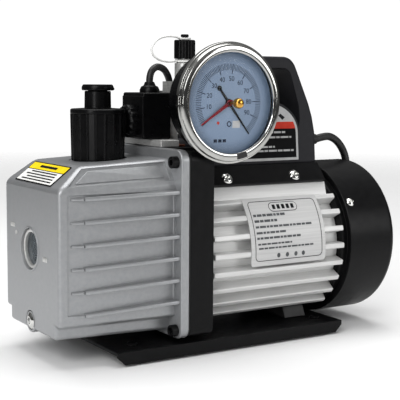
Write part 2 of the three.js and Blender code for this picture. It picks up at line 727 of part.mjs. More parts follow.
function makeSwitchRocker() {
  const shape = new THREE.Shape();
  shape.moveTo(167, 36.4);
  shape.lineTo(175, 34.4);
  shape.lineTo(183, 33.9);
  shape.lineTo(182.6, 32.2);
  shape.lineTo(178, 29.5);
  shape.lineTo(172, 29.5);
  shape.lineTo(167.4, 33.2);
  const geometry = new THREE.ExtrudeGeometry(shape, { depth: 8.4, bevelEnabled: false });
  return solid(geometry.translate(0, 0, 141.8));
}
add("power_switch", "redPaint", makeSwitchRocker());

// ---------- inlet: valve, tee, cap and gauge ----------
add("inlet_base", "aluminium", block([89.5, 104.9], [-27.5, 29], [FLANGE.top + GAP, 153.2]));

function makeValveBody() {
  const { front, rear, low, high, near, far } = VALVE;
  const body = block([front, rear], [near, far], [low, high]);
  const armature = rod(6.2, 76, 108, X, ON_VALVE, 20);
  const step = block([front - 1, rear + 1], [-2.3, far + 1], [188.5, high + 1]);
  return cut(join([body, armature]), [
    step,
    rod(3.4, low - 1, ON_VALVE[2], Z, [109.8, 2, 0], 12),
    rod(4.2, 74, 112, X, ON_VALVE, 16),
  ]);
}
add("valve_body", "chrome", makeValveBody());
add("valve_plunger", "steel", rod(3.8, 84, 108, X, ON_VALVE, 16));

function makeValveCoil() {
  const { front, rear, half, low, high } = COIL_BOX;
  const [x, y] = VALVE_LEAD[0];
  const glandProfile = [[0, high - 1], [7.4, high - 1], [7.4, 189.6], [6, 192.2], [0, 192.2]];
  const gland = turned(glandProfile, Z, [x, y, 0], 20);
  return cut(join([block([front, rear], [-half, half], [low, high]), gland]), [
    rod(6.5, front - 1, rear + 1, X, ON_VALVE, 20),
    rod(2.9, high, 195, Z, [x, y, 0], 16),
  ]);
}
add("valve_coil", "blackPlastic", makeValveCoil());

function makeCoilNut() {
  const knurl = new THREE.Shape();
  const teeth = 18;
  for (let i = 0; i < 2 * teeth; i += 1) {
    const radius = i % 2 ? 11.2 : 12.2;
    const turn = (Math.PI * i) / teeth;
    knurl[i ? "lineTo" : "moveTo"](radius * Math.cos(turn), VALVE.axisZ + radius * Math.sin(turn));
  }
  const body = alongX(knurl.clone(), 73.4, COIL_BOX.front - GAP);
  return cut(body, [rod(6.5, 75.4, 90, X, ON_VALVE, 20)]);
}
add("coil_nut", "blackPlastic", makeCoilNut());

add("valve_lead", "rubber", bar(VALVE_LEAD, 2.6, 30));

function makeTee() {
  const { x, y, radius, bottom, shoulder, tube, tubeTop } = TEE;
  const column = turned(
    [
      [0, bottom],
      [radius, bottom],
      [radius, 209.4],
      [6, 209.4],
      [6, 211.4],
      [radius, 211.4],
      [radius, shoulder],
      [tube, shoulder],
      [tube, tubeTop],
      [3, tubeTop],
      [3, 172],
      [0, 172],
    ],
    Z,
    [x, y, 0],
    20,
  );
  const branch = rod(5.2, VALVE.rear + GAP - x, 0, X, [x, y, 180.3], 16);
  const stem = rod(5.6, GAUGE.back + GAP - y, 0, Y, [x, y, GAUGE.z], 16);
  return join([column, branch, stem]);
}
add("inlet_tee", "brass", makeTee());

const CAP_PROFILE = [
  [CAP.bore, CAP.bottom],
  [CAP.radius, CAP.bottom],
  [CAP.radius, CAP.top],
  [2.2, CAP.top],
  [2.2, 228.2],
  [CAP.knob, 228.4],
  [CAP.knob, CAP.knobTop],
  [0, CAP.knobTop],
  [0, 220],
  [CAP.bore, 220],
  [CAP.bore, CAP.bottom],
];
add("inlet_cap", "blackPlastic", turned(CAP_PROFILE, Z, [TEE.x, TEE.y, 0], 20));

// The strap that keeps the cap on the tee: an eye round the cap's knob, a loop, and an eye round the tee.
const STRAP = [
  [120, -4, 227.2],
  [113.6, -4.9, 228.4],
  [103.6, -6.9, 227.9],
  [95.6, -9.1, 224.6],
  [91.5, -10.1, 219],
  [92.6, -10.1, 214.6],
  [97.8, -9.5, 211.2],
  [105.4, -8.1, 209.9],
  [116.6, -5.5, 210.4],
];
function makeStrap() {
  return join([
    ring(2.6, 4.6, 226.6, 227.8, Z, [TEE.x, TEE.y, 0], 16),
    bar(STRAP, 0.8, 28, 6),
    ring(6.4, 8, 209.8, 211, Z, [TEE.x, TEE.y, 0], 20),
  ]);
}
add("cap_strap", "whitePlastic", makeStrap());

const GAUGE_CENTRE = [GAUGE.x, 0, GAUGE.z];
// Cup-shaped case behind the dial. Its front flange sits in the bezel and is recessed for the dial.
const GAUGE_CASE_PROFILE = [
  [0, GAUGE.back],
  [0, GAUGE.back - 2],
  [GAUGE.can - 1.7, GAUGE.back - 2],
  [GAUGE.can - 1.7, GAUGE.front + 6.7],
  [36.8, GAUGE.front + 6.7],
  [36.8, GAUGE.front + 4.9],
  [38.3, GAUGE.front + 4.9],
  [38.3, GAUGE.front + 7.3],
  [GAUGE.can, GAUGE.front + 7.3],
  [GAUGE.can, GAUGE.back - 4],
  [GAUGE.can - 3, GAUGE.back],
  [0, GAUGE.back],
];
const BEZEL_PROFILE = [
  [38.8, GAUGE.front + 7.6],
  [38.8, GAUGE.front + 2.1],
  [GAUGE.opening, GAUGE.front + 2.1],
  [GAUGE.opening, GAUGE.front + 1],
  [36.8, GAUGE.front],
  [40, GAUGE.front],
  [42.1, GAUGE.front + 1.6],
  [GAUGE.radius, GAUGE.front + 4],
  [GAUGE.radius, GAUGE.front + 6.6],
  [41.8, GAUGE.front + 7.6],
  [38.8, GAUGE.front + 7.6],
];
add("gauge_case", "blackPlastic", turned(GAUGE_CASE_PROFILE, Y, GAUGE_CENTRE, 36));
add("gauge_bezel", "chrome", turned(BEZEL_PROFILE, Y, GAUGE_CENTRE, 48));
add("gauge_glass", "glass", ring(1.6, 38.4, GAUGE.front + 2.4, GAUGE.front + 3.6, Y, GAUGE_CENTRE, 36));
add("gauge_dial", "dial", ring(1.2, 36.4, DIAL_Y, DIAL_Y + 0.7, Y, GAUGE_CENTRE, 36));

// Flat pointer blade from its tail to its tip, turned about the middle of the dial.
function pointer(angle, tail, tip, [front, back], hub, spindle) {
  const blade = new THREE.BoxGeometry(tail + tip, back - front, 1.1);
  blade.translate((tip - tail) / 2, (front + back) / 2, 0).rotateY(radians(angle));
  blade.translate(GAUGE.x, 0, GAUGE.z);
  const disc = rod(hub, front, back, Y, GAUGE_CENTRE, 16);
  return join([solid(blade), disc, rod(0.9, ...spindle, Y, GAUGE_CENTRE, 12)]);
}
const BLACK_LAYER = [DIAL_Y - 0.6, DIAL_Y - 0.2];
const RED_LAYER = [DIAL_Y - 1.6, DIAL_Y - 1];
add("gauge_pointer", "blackPaint", pointer(52, 13, 28, BLACK_LAYER, 2.6, [DIAL_Y - 0.6, DIAL_Y + 8]));
add("set_pointer", "redPaint", pointer(147, 3, 28, RED_LAYER, 2, RED_LAYER));

const KNOB_PROFILE = [
  [0, KNOB.front],
  [2.4, KNOB.front + 0.4],
  [KNOB.radius, KNOB.front + 2.2],
  [KNOB.radius, KNOB.front + 4.4],
  [3, KNOB.front + 6.6],
  [1.2, KNOB.front + 7.8],
  [1.2, RED_LAYER[0] - GAP],
  [0, RED_LAYER[0] - GAP],
];
add("set_knob", "brass", turned(KNOB_PROFILE, Y, GAUGE_CENTRE, 20));

// ---------- mains lead ----------
const LEAD_EXIT = [252.4, 0, 149];
const GLAND_PROFILE = [[3.5, 228.3], [8, 228.3], [8, 231], [5.6, 232], [4.6, 252], [3.5, 252], [3.5, 228.3]];
add("lead_gland", "rubber", turned(GLAND_PROFILE, X, [0, 0, 149], 20));

// From the gland over the fan cover, down behind its rear face and along the floor to the coil.
const LEAD_ROUTE = [
  LEAD_EXIT,
  [259.5, 0, 150.4],
  [266.5, 0.2, 150.8],
  [273.8, 0.8, 148.2],
  [280.4, 1.8, 143.2],
  [286, 3.2, 136.6],
  [290.3, 5.2, 128.6],
  [293.3, 8.2, 117.6],
  [295.2, 12.4, 104],
  [296.2, 18, 88],
  [296.6, 25, 71],
  [296.4, 33, 54],
  [295.2, 42, 38],
  [292.2, 51.4, 24],
  [287, 59.9, 13.4],
  [279.4, 67, 6.8],
  [269.6, 72.2, 4],
  [258.4, 75, 3.3],
  [246.4, 75.6, 3.3],
  [234, 75.6, 3.3],
  [222, 75.6, 3.3],
  [214.6, 75.6, 3.3],
];
add("power_cord", "rubber", bar(LEAD_ROUTE, LEAD.radius, 48));

const COIL_PROFILE = [
  [LEAD.coilRing - LEAD.bundleHalf, 0.2],
  [LEAD.coilRing + LEAD.bundleHalf, 0.2],
  [LEAD.coilRing + LEAD.bundleHalf, LEAD.bundleHeight],
  [LEAD.coilRing - LEAD.bundleHalf, LEAD.bundleHeight],
  [LEAD.coilRing - LEAD.bundleHalf, 0.2],
];
add("power_cord_coil", "rubber", turned(COIL_PROFILE, Z, [LEAD.coilX, LEAD.coilY, 0], 32));
// Round two-pin plug lying beside the coil. Its boot runs down to the lead's last turn.
function makePlug() {
  const { rear, y, z, radius, bootEnd, bootZ } = PLUG;
  const profile = [[0, -26], [14, -26], [radius, -22], [radius, -6], [13, -1], [7, 0], [0, 0]];
  const circle = (x, size, height) =>
    Array.from({ length: 12 }, (_, i) => [
      x,
      y + size * Math.cos((i * Math.PI) / 6),
      height + size * Math.sin((i * Math.PI) / 6),
    ]);
  const boot = hull([...circle(rear - 2, 7, z), ...circle(bootEnd, 4.3, bootZ)]);
  const pins = bothSides((side) => rod(2.4, -45, -25, X, [rear, y, z + side * 9.5], 12));
  return join([turned(profile, X, [rear, y, z], 24), boot, ...pins]);
}
add("power_plug", "blackPlastic", makePlug());

// ---------- origin ----------
// The machine spans 1.6 mm in front of the case to the fan cover, and the gauge knob to the fan cover's side.
pump.position.set(-(FAN_COVER.rear - 1.6) / 2, -(FAN_COVER.radius + KNOB.front) / 2, 0);

export default pump;
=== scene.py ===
# The looks of a two-stage rotary vane vacuum pump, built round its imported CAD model.
#
# Pieces are drawn in the pump frame, in millimetres: x = 0 is the end face of the oil case, y = 0 is the
# shaft's vertical plane, z = 0 is the floor, and -Y is the gauge side. TO_ROW moves them to the row frame,
# in metres. Sizes that a CAD piece has are read from its box.
import math

import bmesh
import bpy
from mathutils import Matrix, Vector


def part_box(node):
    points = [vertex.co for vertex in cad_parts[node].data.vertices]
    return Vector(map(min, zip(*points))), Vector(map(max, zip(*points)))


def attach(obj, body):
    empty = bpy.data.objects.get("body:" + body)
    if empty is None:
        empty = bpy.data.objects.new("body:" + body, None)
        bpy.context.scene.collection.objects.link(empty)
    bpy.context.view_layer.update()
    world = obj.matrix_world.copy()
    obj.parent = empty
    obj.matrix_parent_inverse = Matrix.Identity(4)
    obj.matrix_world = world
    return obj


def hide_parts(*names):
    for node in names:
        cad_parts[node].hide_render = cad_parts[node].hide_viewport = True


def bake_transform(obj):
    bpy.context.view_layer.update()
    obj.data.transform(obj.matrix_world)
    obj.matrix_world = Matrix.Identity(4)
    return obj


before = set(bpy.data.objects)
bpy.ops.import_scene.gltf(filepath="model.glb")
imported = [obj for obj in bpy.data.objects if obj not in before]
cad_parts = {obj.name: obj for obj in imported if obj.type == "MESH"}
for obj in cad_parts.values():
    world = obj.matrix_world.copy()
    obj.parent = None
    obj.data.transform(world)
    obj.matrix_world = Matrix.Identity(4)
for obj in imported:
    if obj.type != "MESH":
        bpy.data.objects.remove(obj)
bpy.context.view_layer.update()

MM = 0.001
END_FACE_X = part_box("oil_case")[0].x
SHAFT_Y = (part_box("fan_cover")[0].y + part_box("fan_cover")[1].y) / 2
TO_ROW = Matrix.Translation((END_FACE_X, SHAFT_Y, 0)) @ Matrix.Scale(MM, 4)


def pump_box(node):
    """Lowest and highest corner of a CAD node, in the pump frame."""
    return tuple(TO_ROW.inverted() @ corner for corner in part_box(node))


def between(a, b, share):
    return a + (b - a) * share


def mirrored(make):
    return [make(side) for side in (-1, 1)]


def cos_sin(degrees):
    return math.cos(math.radians(degrees)), math.sin(math.radians(degrees))


def in_scene(name, data):
    """A new object in the scene."""
    thing = bpy.data.objects.new(name, data)
    bpy.context.scene.collection.objects.link(thing)
    return thing


def mesh_of(bm, name="part"):
    """A shape as a mesh. The shape itself is used up."""
    mesh = bpy.data.meshes.new(name)
    bm.to_mesh(mesh)
    bm.free()
    return mesh


def connect(tree, node, inputs):
    """Fills a shader node's inputs. Each is given a value, or is linked to the output of another node."""
    for socket, value in inputs.items():
        if isinstance(value, bpy.types.NodeSocket):
            tree.links.new(value, node.inputs[socket])
        else:
            node.inputs[socket].default_value = value
    return node


def add_node(tree, kind, inputs=None):
    return connect(tree, tree.nodes.new(kind), inputs or {})


def spread(tree, value, source, target):
    """Maps a shader value from one range to another."""
    limits = zip(("From Min", "From Max", "To Min", "To Max"), (*source, *target))
    return add_node(tree, "ShaderNodeMapRange", {"Value": value, **dict(limits)}).outputs["Result"]


SHAFT_Z = (pump_box("fan_cover")[0].z + pump_box("fan_cover")[1].z) / 2
ON_SHAFT = (0, 0, SHAFT_Z)
BODY = "pump_body"


# ---------- camera, lights and floor ----------
# Strength of the world: behind the object, and in what the surfaces reflect at the horizon and overhead.
WORLD = {"behind": 1.05, "horizon": 0.06, "overhead": 0.4}
CAMERA = {"place": (-280.57, -666.38, 196.26), "yaw": 32.28, "pitch": 6.64, "roll": 0.43, "lens": 92.415}
FLOOR = {"radius": 6, "fades_from": 0.55, "fades_to": 2.2}


def add_camera():
    yaw, pitch, roll = (math.radians(CAMERA[turn]) for turn in ("yaw", "pitch", "roll"))
    ahead = Vector((math.sin(yaw) * math.cos(pitch), math.cos(yaw) * math.cos(pitch), -math.sin(pitch)))
    level = Vector((math.cos(yaw), -math.sin(yaw), 0))
    right = level * math.cos(roll) + level.cross(ahead) * math.sin(roll)
    data = bpy.data.cameras.new("camera")
    data.lens = CAMERA["lens"]
    data.sensor_width = 36
    camera = in_scene("camera", data)
    turn = Matrix((right, right.cross(ahead), -ahead)).transposed()
    camera.matrix_world = Matrix.Translation(TO_ROW @ Vector(CAMERA["place"])) @ turn.to_4x4()
    bpy.context.scene.camera = camera


LIGHT_TARGET = (0, 0, 0.1)
# Place and size in metres, and power in watts.
SOFTBOXES = {
    "key": ((-1.2, -0.9, 1.1), 0.9, 15),
    "edge": ((-1.25, -0.75, 0.25), 0.3, 3),
    "top": ((0.1, 0.2, 1.5), 1.2, 19),
    "side": ((0.9, -1.2, 0.5), 0.6, 5),
}


def add_softbox(name, place, size, power):
    """A square area light, placed in metres and aimed at the object."""
    data = bpy.data.lights.new(name, "AREA")
    data.size = size
    data.energy = power
    light = in_scene(name, data)
    light.location = place
    light.rotation_euler = (Vector(LIGHT_TARGET) - Vector(place)).to_track_quat("-Z", "Y").to_euler()


def add_world():
    """White behind the object. What the surfaces reflect is dark round the horizon and paler overhead."""
    world = bpy.data.worlds.new("studio")
    bpy.context.scene.world = world
    world.use_nodes = True
    tree = world.node_tree
    direction = add_node(tree, "ShaderNodeTexCoord").outputs["Generated"]
    height = add_node(tree, "ShaderNodeSeparateXYZ", {"Vector": direction}).outputs["Z"]
    reflected = spread(tree, height, (0.1, 0.9), (WORLD["horizon"], WORLD["overhead"]))
    seen = add_node(tree, "ShaderNodeLightPath").outputs["Is Camera Ray"]
    level = spread(tree, seen, (0, 1), (reflected, WORLD["behind"]))
    connect(tree, tree.nodes["Background"], {"Color": (1, 1, 1, 1), "Strength": level})


def add_floor(look):
    """A round pale floor that reaches far past the object."""
    bm = bmesh.new()
    bmesh.ops.create_circle(bm, cap_ends=True, radius=FLOOR["radius"], segments=96)
    floor = in_scene("floor", mesh_of(bm, "floor"))
    floor.data.materials.append(look)


# ---------- materials ----------
def linear(red, green, blue):
    """A colour given in 0 to 255 steps as the shader's own values."""
    values = [channel / 255 for channel in (red, green, blue)]
    curve = [v / 12.92 if v <= 0.04045 else ((v + 0.055) / 1.055) ** 2.4 for v in values]
    return (*curve, 1)


NOISE = (0.3, 0.7)  # the part of a noise's range that is used


class Finish:
    """A node material with a principled shader, and the noise that gives its detail. Sizes are in mm."""

    def __init__(self, name, metallic=0.0, gloss=0.5, opacity=1.0):
        self.material = bpy.data.materials.new(name)
        self.material.use_nodes = True
        self.tree = self.material.node_tree
        self.put({"Metallic": metallic, "Specular IOR Level": gloss, "Alpha": opacity})
        self.place = add_node(self.tree, "ShaderNodeTexCoord").outputs["Object"]

    def put(self, inputs):
        connect(self.tree, self.tree.nodes["Principled BSDF"], inputs)
        return self

    def noise(self, size, stretch=(1, 1, 1), detail=3.0):
        mapping = {"Scale": [1 / factor for factor in stretch], "Vector": self.place}
        place = add_node(self.tree, "ShaderNodeMapping", mapping).outputs["Vector"]
        inputs = {"Scale": 1 / (size * MM), "Detail": detail, "Vector": place}
        return add_node(self.tree, "ShaderNodeTexNoise", inputs).outputs["Fac"]

    def distance(self, point):
        """Distance from a point in metres."""
        reach = add_node(self.tree, "ShaderNodeVectorMath", {0: self.place, 1: point})
        reach.operation = "DISTANCE"
        return reach.outputs["Value"]

    def ramp(self, value, stops):
        ramp = add_node(self.tree, "ShaderNodeValToRGB", {"Fac": value})
        elements = ramp.color_ramp.elements
        while len(elements) < len(stops):
            elements.new(0.5)
        for element, (position, colour) in zip(elements, stops):
            element.position = position
            element.color = colour
        return ramp.outputs["Color"]

    def colour(self, dark, light, size, stretch=(1, 1, 1)):
        stops = [(NOISE[0], dark), (NOISE[1], light)]
        return self.put({"Base Color": self.ramp(self.noise(size, stretch), stops)})

    def roughness(self, low, high, size, stretch=(1, 1, 1)):
        return self.put({"Roughness": spread(self.tree, self.noise(size, stretch), NOISE, (low, high))})

    def bump(self, size, depth, strength=1.0, stretch=(1, 1, 1)):
        height = self.noise(size, stretch, detail=2.0)
        inputs = {"Distance": depth * MM, "Strength": strength, "Height": height}
        return self.put({"Normal": add_node(self.tree, "ShaderNodeBump", inputs).outputs["Normal"]})


def painted(name, dark, light, rough, grain, gloss=0.5, metallic=0.0, mottle=6):
    """Paint or moulded plastic: colour mottling, a fine surface grain and uneven gloss."""
    look = Finish(name, metallic, gloss)
    look.colour(linear(*dark), linear(*light), mottle)
    look.roughness(*rough, size=mottle)
    return look.bump(*grain)


def brushed(name, dark, light, rough, along, metallic=1.0):
    """Metal with fine streaks drawn along one axis."""
    stretch = {"x": (40, 1, 1), "y": (1, 40, 1), "z": (1, 1, 40)}[along]
    look = Finish(name, metallic)
    look.colour(linear(*dark), linear(*light), 1.2, stretch)
    look.roughness(*rough, size=0.9, stretch=stretch)
    return look.bump(0.7, 0.01, 0.5, stretch)


DULL, MATT = 0.13, 0.05
# Darkest and lightest colour, roughness from and to, size and depth of the grain, and then gloss, metallic
# share and size of the mottling where they differ from painted()'s own.
PAINTED = {
    "cast_paint": ((150, 152, 154), (158, 159, 161), (0.33, 0.4), (0.8, 0.03), 0.5, 0.55, 3),
    "chrome": ((205, 205, 202), (222, 222, 219), (0.07, 0.14), (2.0, 0.004), 0.5, 1.0),
    "bezel_steel": ((176, 176, 173), (190, 190, 187), (0.06, 0.12), (2.0, 0.004), 0.5, 1.0),
    "laminations": ((120, 62, 34), (172, 104, 62), (0.35, 0.5), (1.1, 0.08), 0.5, 0.5, 3),
    "copper": ((168, 104, 84), (190, 124, 102), (0.28, 0.4), (0.8, 0.01), 0.5, 1.0, 4),
    "carbon": ((34, 35, 38), (48, 49, 52), (0.5, 0.65), (0.4, 0.02), 0.5, 0.1, 3),
    "black_paint": ((9, 9, 10), (14, 14, 15), (0.3, 0.4), (0.7, 0.02), DULL),
    "grip_paint": ((32, 32, 35), (39, 39, 42), (0.44, 0.54), (0.7, 0.03), DULL),
    "black_plastic": ((6, 6, 7), (10, 10, 11), (0.26, 0.34), (0.5, 0.015), DULL),
    "gauge_black": ((4, 4, 5), (8, 8, 9), (0.2, 0.3), (0.6, 0.01), DULL),
    "rubber": ((12, 12, 12), (19, 19, 19), (0.45, 0.6), (0.6, 0.03)),
    "white_plastic": ((240, 240, 237), (248, 248, 246), (0.4, 0.5), (0.8, 0.01)),
    "red_paint": ((112, 14, 28), (128, 20, 34), (0.4, 0.5), (0.8, 0.01), MATT),
    "red_plastic": ((150, 18, 20), (172, 26, 26), (0.22, 0.32), (0.8, 0.01)),
}
# Darkest and lightest colour of the inks.
PRINTED = {
    "print_black": ((20, 20, 22), (32, 32, 34)),
    "print_panel": ((11, 11, 12), (17, 17, 18)),
    "print_grey": ((78, 80, 82), (92, 94, 96)),
    "print_light": ((168, 168, 168), (184, 184, 184)),
    "print_white": ((226, 226, 222), (238, 238, 235)),
    "print_red": ((178, 52, 40), (192, 62, 48)),
    "print_yellow": ((236, 205, 24), (246, 218, 40)),
    "dial_print": ((18, 24, 42), (26, 32, 52)),
}
# Darkest and lightest colour, roughness from and to, axis of the streaks and metallic share.
BRUSHED = {
    "aluminium": ((207, 207, 206), (216, 216, 215), (0.42, 0.54), "x", 0.3),
    "machined": ((196, 196, 194), (214, 214, 212), (0.34, 0.44), "y", 0.6),
    "steel": ((150, 151, 153), (182, 183, 185), (0.28, 0.4), "x"),
    "brass": ((190, 140, 62), (226, 178, 92), (0.14, 0.24), "z"),
    "foil": ((186, 186, 186), (198, 198, 197), (0.45, 0.55), "x", 0.1),
}


def make_looks():
    looks = {name: painted(name, *values) for name, values in PAINTED.items()}
    for name, inks in PRINTED.items():
        looks[name] = painted(name, *inks, (0.5, 0.6), (0.5, 0.005), MATT)
    for name, values in BRUSHED.items():
        looks[name] = brushed(name, *values)
    looks["dial"] = dial_paint()
    looks["glass"] = clear_glass("glass", 0.02)
    looks["sight"] = clear_glass("sight", 0.08)
    looks["floor"] = floor_paint()
    return {name: look.material for name, look in looks.items()}


def dial_paint():
    """Pale blue dial paint that gets darker towards its rim, where the bezel shades it."""
    look = Finish("dial")
    low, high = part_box("gauge_dial")
    radius = (high.x - low.x) / 2
    share = spread(look.tree, look.distance((low + high) / 2), (0, radius), (0, 1))
    stops = [(0.0, linear(122, 142, 168)), (0.72, linear(114, 134, 160)), (1.0, linear(80, 100, 126))]
    look.put({"Base Color": look.ramp(share, stops)})
    look.roughness(0.42, 0.52, 5)
    return look.bump(0.6, 0.004)


def clear_glass(name, opacity):
    """Clear glass with a faint haze and slightly uneven gloss."""
    look = Finish(name, opacity=opacity)
    look.colour(linear(198, 212, 222), linear(214, 226, 234), 20)
    look.roughness(0.02, 0.06, 25)
    return look.bump(30, 0.01, 0.3)


def floor_paint():
    """White floor that fades out far from the object, so that it meets the background with no edge."""
    look = Finish("floor", gloss=0.1)
    look.colour((0.86, 0.86, 0.86, 1), (0.9, 0.9, 0.9, 1), 400)
    fade = spread(look.tree, look.distance((0, 0, 0)), (FLOOR["fades_from"], FLOOR["fades_to"]), (1, 0))
    look.put({"Roughness": 0.9, "Alpha": fade})
    return look


# ---------- shapes, in the pump frame ----------
def polygon_mesh(points, faces):
    bm = bmesh.new()
    corners = [bm.verts.new(point) for point in points]
    for face in faces:
        bm.faces.new([corners[i] for i in face])
    return bm


def merged(*parts):
    """Several shapes as one."""
    whole = bmesh.new()
    for part in parts:
        mesh = mesh_of(part)
        whole.from_mesh(mesh)
        bpy.data.meshes.remove(mesh)
    return whole


def round_edges(bm, width, segments=3, keep=None):
    """Rounds every edge, or only those that keep() accepts."""
    edges = [edge for edge in bm.edges if keep is None or keep(edge)]
    bmesh.ops.bevel(
        bm, geom=edges, offset=width, segments=segments, profile=0.5, affect="EDGES", clamp_overlap=True
    )
    return bm


def hull(points, rounding=0.0, segments=4):
    """The convex solid round a list of points, with rounded edges."""
    bm = bmesh.new()
    for point in points:
        bm.verts.new(point)
    bmesh.ops.convex_hull(bm, input=bm.verts)
    bmesh.ops.dissolve_limit(bm, angle_limit=math.radians(1.5), verts=bm.verts, edges=bm.edges)
    return round_edges(bm, rounding, segments) if rounding else bm


def block(x, y, z, rounding=0.0, segments=3):
    """A box between two values on each axis."""
    corners = [(a, b, c) for a in x for b in y for c in z]
    return hull(corners, rounding, segments)


def along_axis(axis, radius, angle, distance, centre):
    """A point at an angle and a distance along an axis that runs through a centre."""
    a, b = radius * math.cos(angle), radius * math.sin(angle)
    offset = {"x": (distance, a, b), "y": (a, distance, b), "z": (a, b, distance)}[axis]
    return Vector(centre) + Vector(offset)


def skinned(rings, closed=False, capped=False):
    """A shape through rings of points with equal counts. A ring may also be a single point."""
    bm = bmesh.new()
    rows = [[bm.verts.new(point) for point in ring] for ring in rings]
    count = max(len(row) for row in rows)
    if capped:
        bm.faces.new(rows[0])
        bm.faces.new(rows[-1])
    for low, high in zip(rows, rows[1:] + (rows[:1] if closed else [])):
        for i in range(count):
            j = (i + 1) % count
            loop = (low[i % len(low)], low[j % len(low)], high[j % len(high)], high[i % len(high)])
            corners = list(dict.fromkeys(loop))
            if len(corners) > 2:
                bm.faces.new(corners)
    bmesh.ops.recalc_face_normals(bm, faces=bm.faces)
    return bm


def turned(profile, axis, centre, sides=96, shape=None):
    """A profile of (radius, distance) turned about an axis. shape(angle) scales the radius round the turn."""
    closed = profile[0] == profile[-1]
    rings = []
    for radius, distance in profile[:-1] if closed else profile:
        angles = [2 * math.pi * i / sides for i in range(sides if radius > 0 else 1)]
        scales = [shape(angle) if shape else 1 for angle in angles]
        ring = [
            along_axis(axis, radius * scale, angle, distance, centre) for angle, scale in zip(angles, scales)
        ]
        rings.append(ring)
    return skinned(rings, closed)


def knurled(depth, lobes):
    """A shape for turned(): shallow lobes round the turn."""
    return lambda angle: 1 - depth + depth * math.cos(lobes * angle)


def rod(radius, start, end, axis, centre, sides=64):
    return turned([(0, start), (radius, start), (radius, end), (0, end)], axis, centre, sides)


def tube_ring(inner, outer, start, end, axis, centre, sides=96):
    corners = [(inner, start), (outer, start), (outer, end), (inner, end), (inner, start)]
    return turned(corners, axis, centre, sides)


def prism(outline, axis, start, end):
    """An outline in the plane across an axis, as a solid between two distances along it."""
    place = {
        "x": lambda a, b, d: (d, a, b),
        "y": lambda a, b, d: (a, d, b),
        "z": lambda a, b, d: (a, b, d),
    }[axis]
    return skinned([[place(a, b, d) for a, b in outline] for d in (start, end)], capped=True)


def rectangle(left, right, low, high):
    return [(left, low), (right, low), (right, high), (left, high)]


def rotated(outline, degrees):
    cos, sin = cos_sin(degrees)
    return [(a * cos - b * sin, a * sin + b * cos) for a, b in outline]


def arc(centre, radius, start, end, steps=6):
    """Points round an arc between two angles in degrees."""
    turns = [math.radians(between(start, end, i / steps)) for i in range(steps + 1)]
    return [(centre[0] + radius * math.cos(t), centre[1] + radius * math.sin(t)) for t in turns]


def rounded_rectangle(left, right, low, high, corner, steps=6):
    return (
        arc((right - corner, low + corner), corner, -90, 0, steps)
        + arc((right - corner, high - corner), corner, 0, 90, steps)
        + arc((left + corner, high - corner), corner, 90, 180, steps)
        + arc((left + corner, low + corner), corner, 180, 270, steps)
    )


def bend(start, control, end, steps=14):
    """Points along a quadratic curve."""
    ends = [Vector(start), Vector(control), Vector(end)]
    shares = [i / steps for i in range(steps + 1)]
    return [tuple(ends[0] * (1 - t) ** 2 + ends[1] * 2 * t * (1 - t) + ends[2] * t * t) for t in shares]


def made_whole(bm):
    """Joins corners that coincide and takes out the edges inside flat faces."""
    bmesh.ops.remove_doubles(bm, verts=bm.verts, dist=0.01)
    bmesh.ops.dissolve_limit(bm, angle_limit=math.radians(0.5), verts=bm.verts, edges=bm.edges)
    return bm


def combined(operation, bm, others):
    """A shape after an exact boolean operation with each of the others."""
    scratch = []
    for part in (bm, *others):
        bmesh.ops.recalc_face_normals(part, faces=part.faces)
        scratch.append(in_scene("scratch", mesh_of(part)))
    for other in scratch[1:]:
        step = scratch[0].modifiers.new("step", "BOOLEAN")
        step.operation = operation
        step.solver = "EXACT"
        step.object = other
    graph = bpy.context.evaluated_depsgraph_get()
    result = bmesh.new()
    result.from_mesh(scratch[0].evaluated_get(graph).to_mesh())
    for piece in scratch:
        mesh = piece.data
        bpy.data.objects.remove(piece)
        bpy.data.meshes.remove(mesh)
    return made_whole(result)


def carve(bm, *tools):
    return combined("DIFFERENCE", bm, tools)


def joined(bm, *others):
    return combined("UNION", bm, others)


def aimed(bm, place, direction):
    """Moves a shape built about the Z axis at the origin to a place, with Z turned to a direction."""
    turn = Vector(direction).to_track_quat("Z", "Y").to_matrix().to_4x4()
    bm.transform(Matrix.Translation(Vector(place)) @ turn)
    return bm


def cad_shape(node):
    """A CAD node's mesh with its flat faces made whole, in the pump frame."""
    bm = bmesh.new()
    bm.from_mesh(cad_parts[node].data)
    bm.transform(TO_ROW.inverted())
    return made_whole(bm)


def smooth_path(points, steps=6):
    """Points along a centripetal Catmull-Rom curve through the given ones."""
    knots = [Vector(p) for p in points]
    knots = [knots[0] * 2 - knots[1], *knots, knots[-1] * 2 - knots[-2]]
    path = []
    for p0, p1, p2, p3 in zip(knots, knots[1:], knots[2:], knots[3:]):
        t = [0.0]
        for a, b in ((p0, p1), (p1, p2), (p2, p3)):
            t.append(t[-1] + math.sqrt((b - a).length))

        def mixed(a, b, low, high):
            return a.lerp(b, (u - t[low]) / (t[high] - t[low]))

        for i in range(steps):
            u = between(t[1], t[2], i / steps)
            middle = mixed(p1, p2, 1, 2)
            before = mixed(mixed(p0, p1, 0, 1), middle, 0, 2)
            after = mixed(middle, mixed(p2, p3, 2, 3), 1, 3)
            path.append(mixed(before, after, 1, 2))
    path.append(knots[-2])
    return path


def swept(path, radius, sides=16):
    """A round bar along points that are close together."""
    rings = []
    side = None
    for i, point in enumerate(path):
        ahead = (path[min(i + 1, len(path) - 1)] - path[max(i - 1, 0)]).normalized()
        guess = side if side else ahead.orthogonal()
        side = (guess - ahead * guess.dot(ahead)).normalized()
        over = ahead.cross(side)
        turns = [2 * math.pi * k / sides for k in range(sides)]
        rings.append([point + (side * math.cos(t) + over * math.sin(t)) * radius for t in turns])
    return skinned(rings, capped=True)


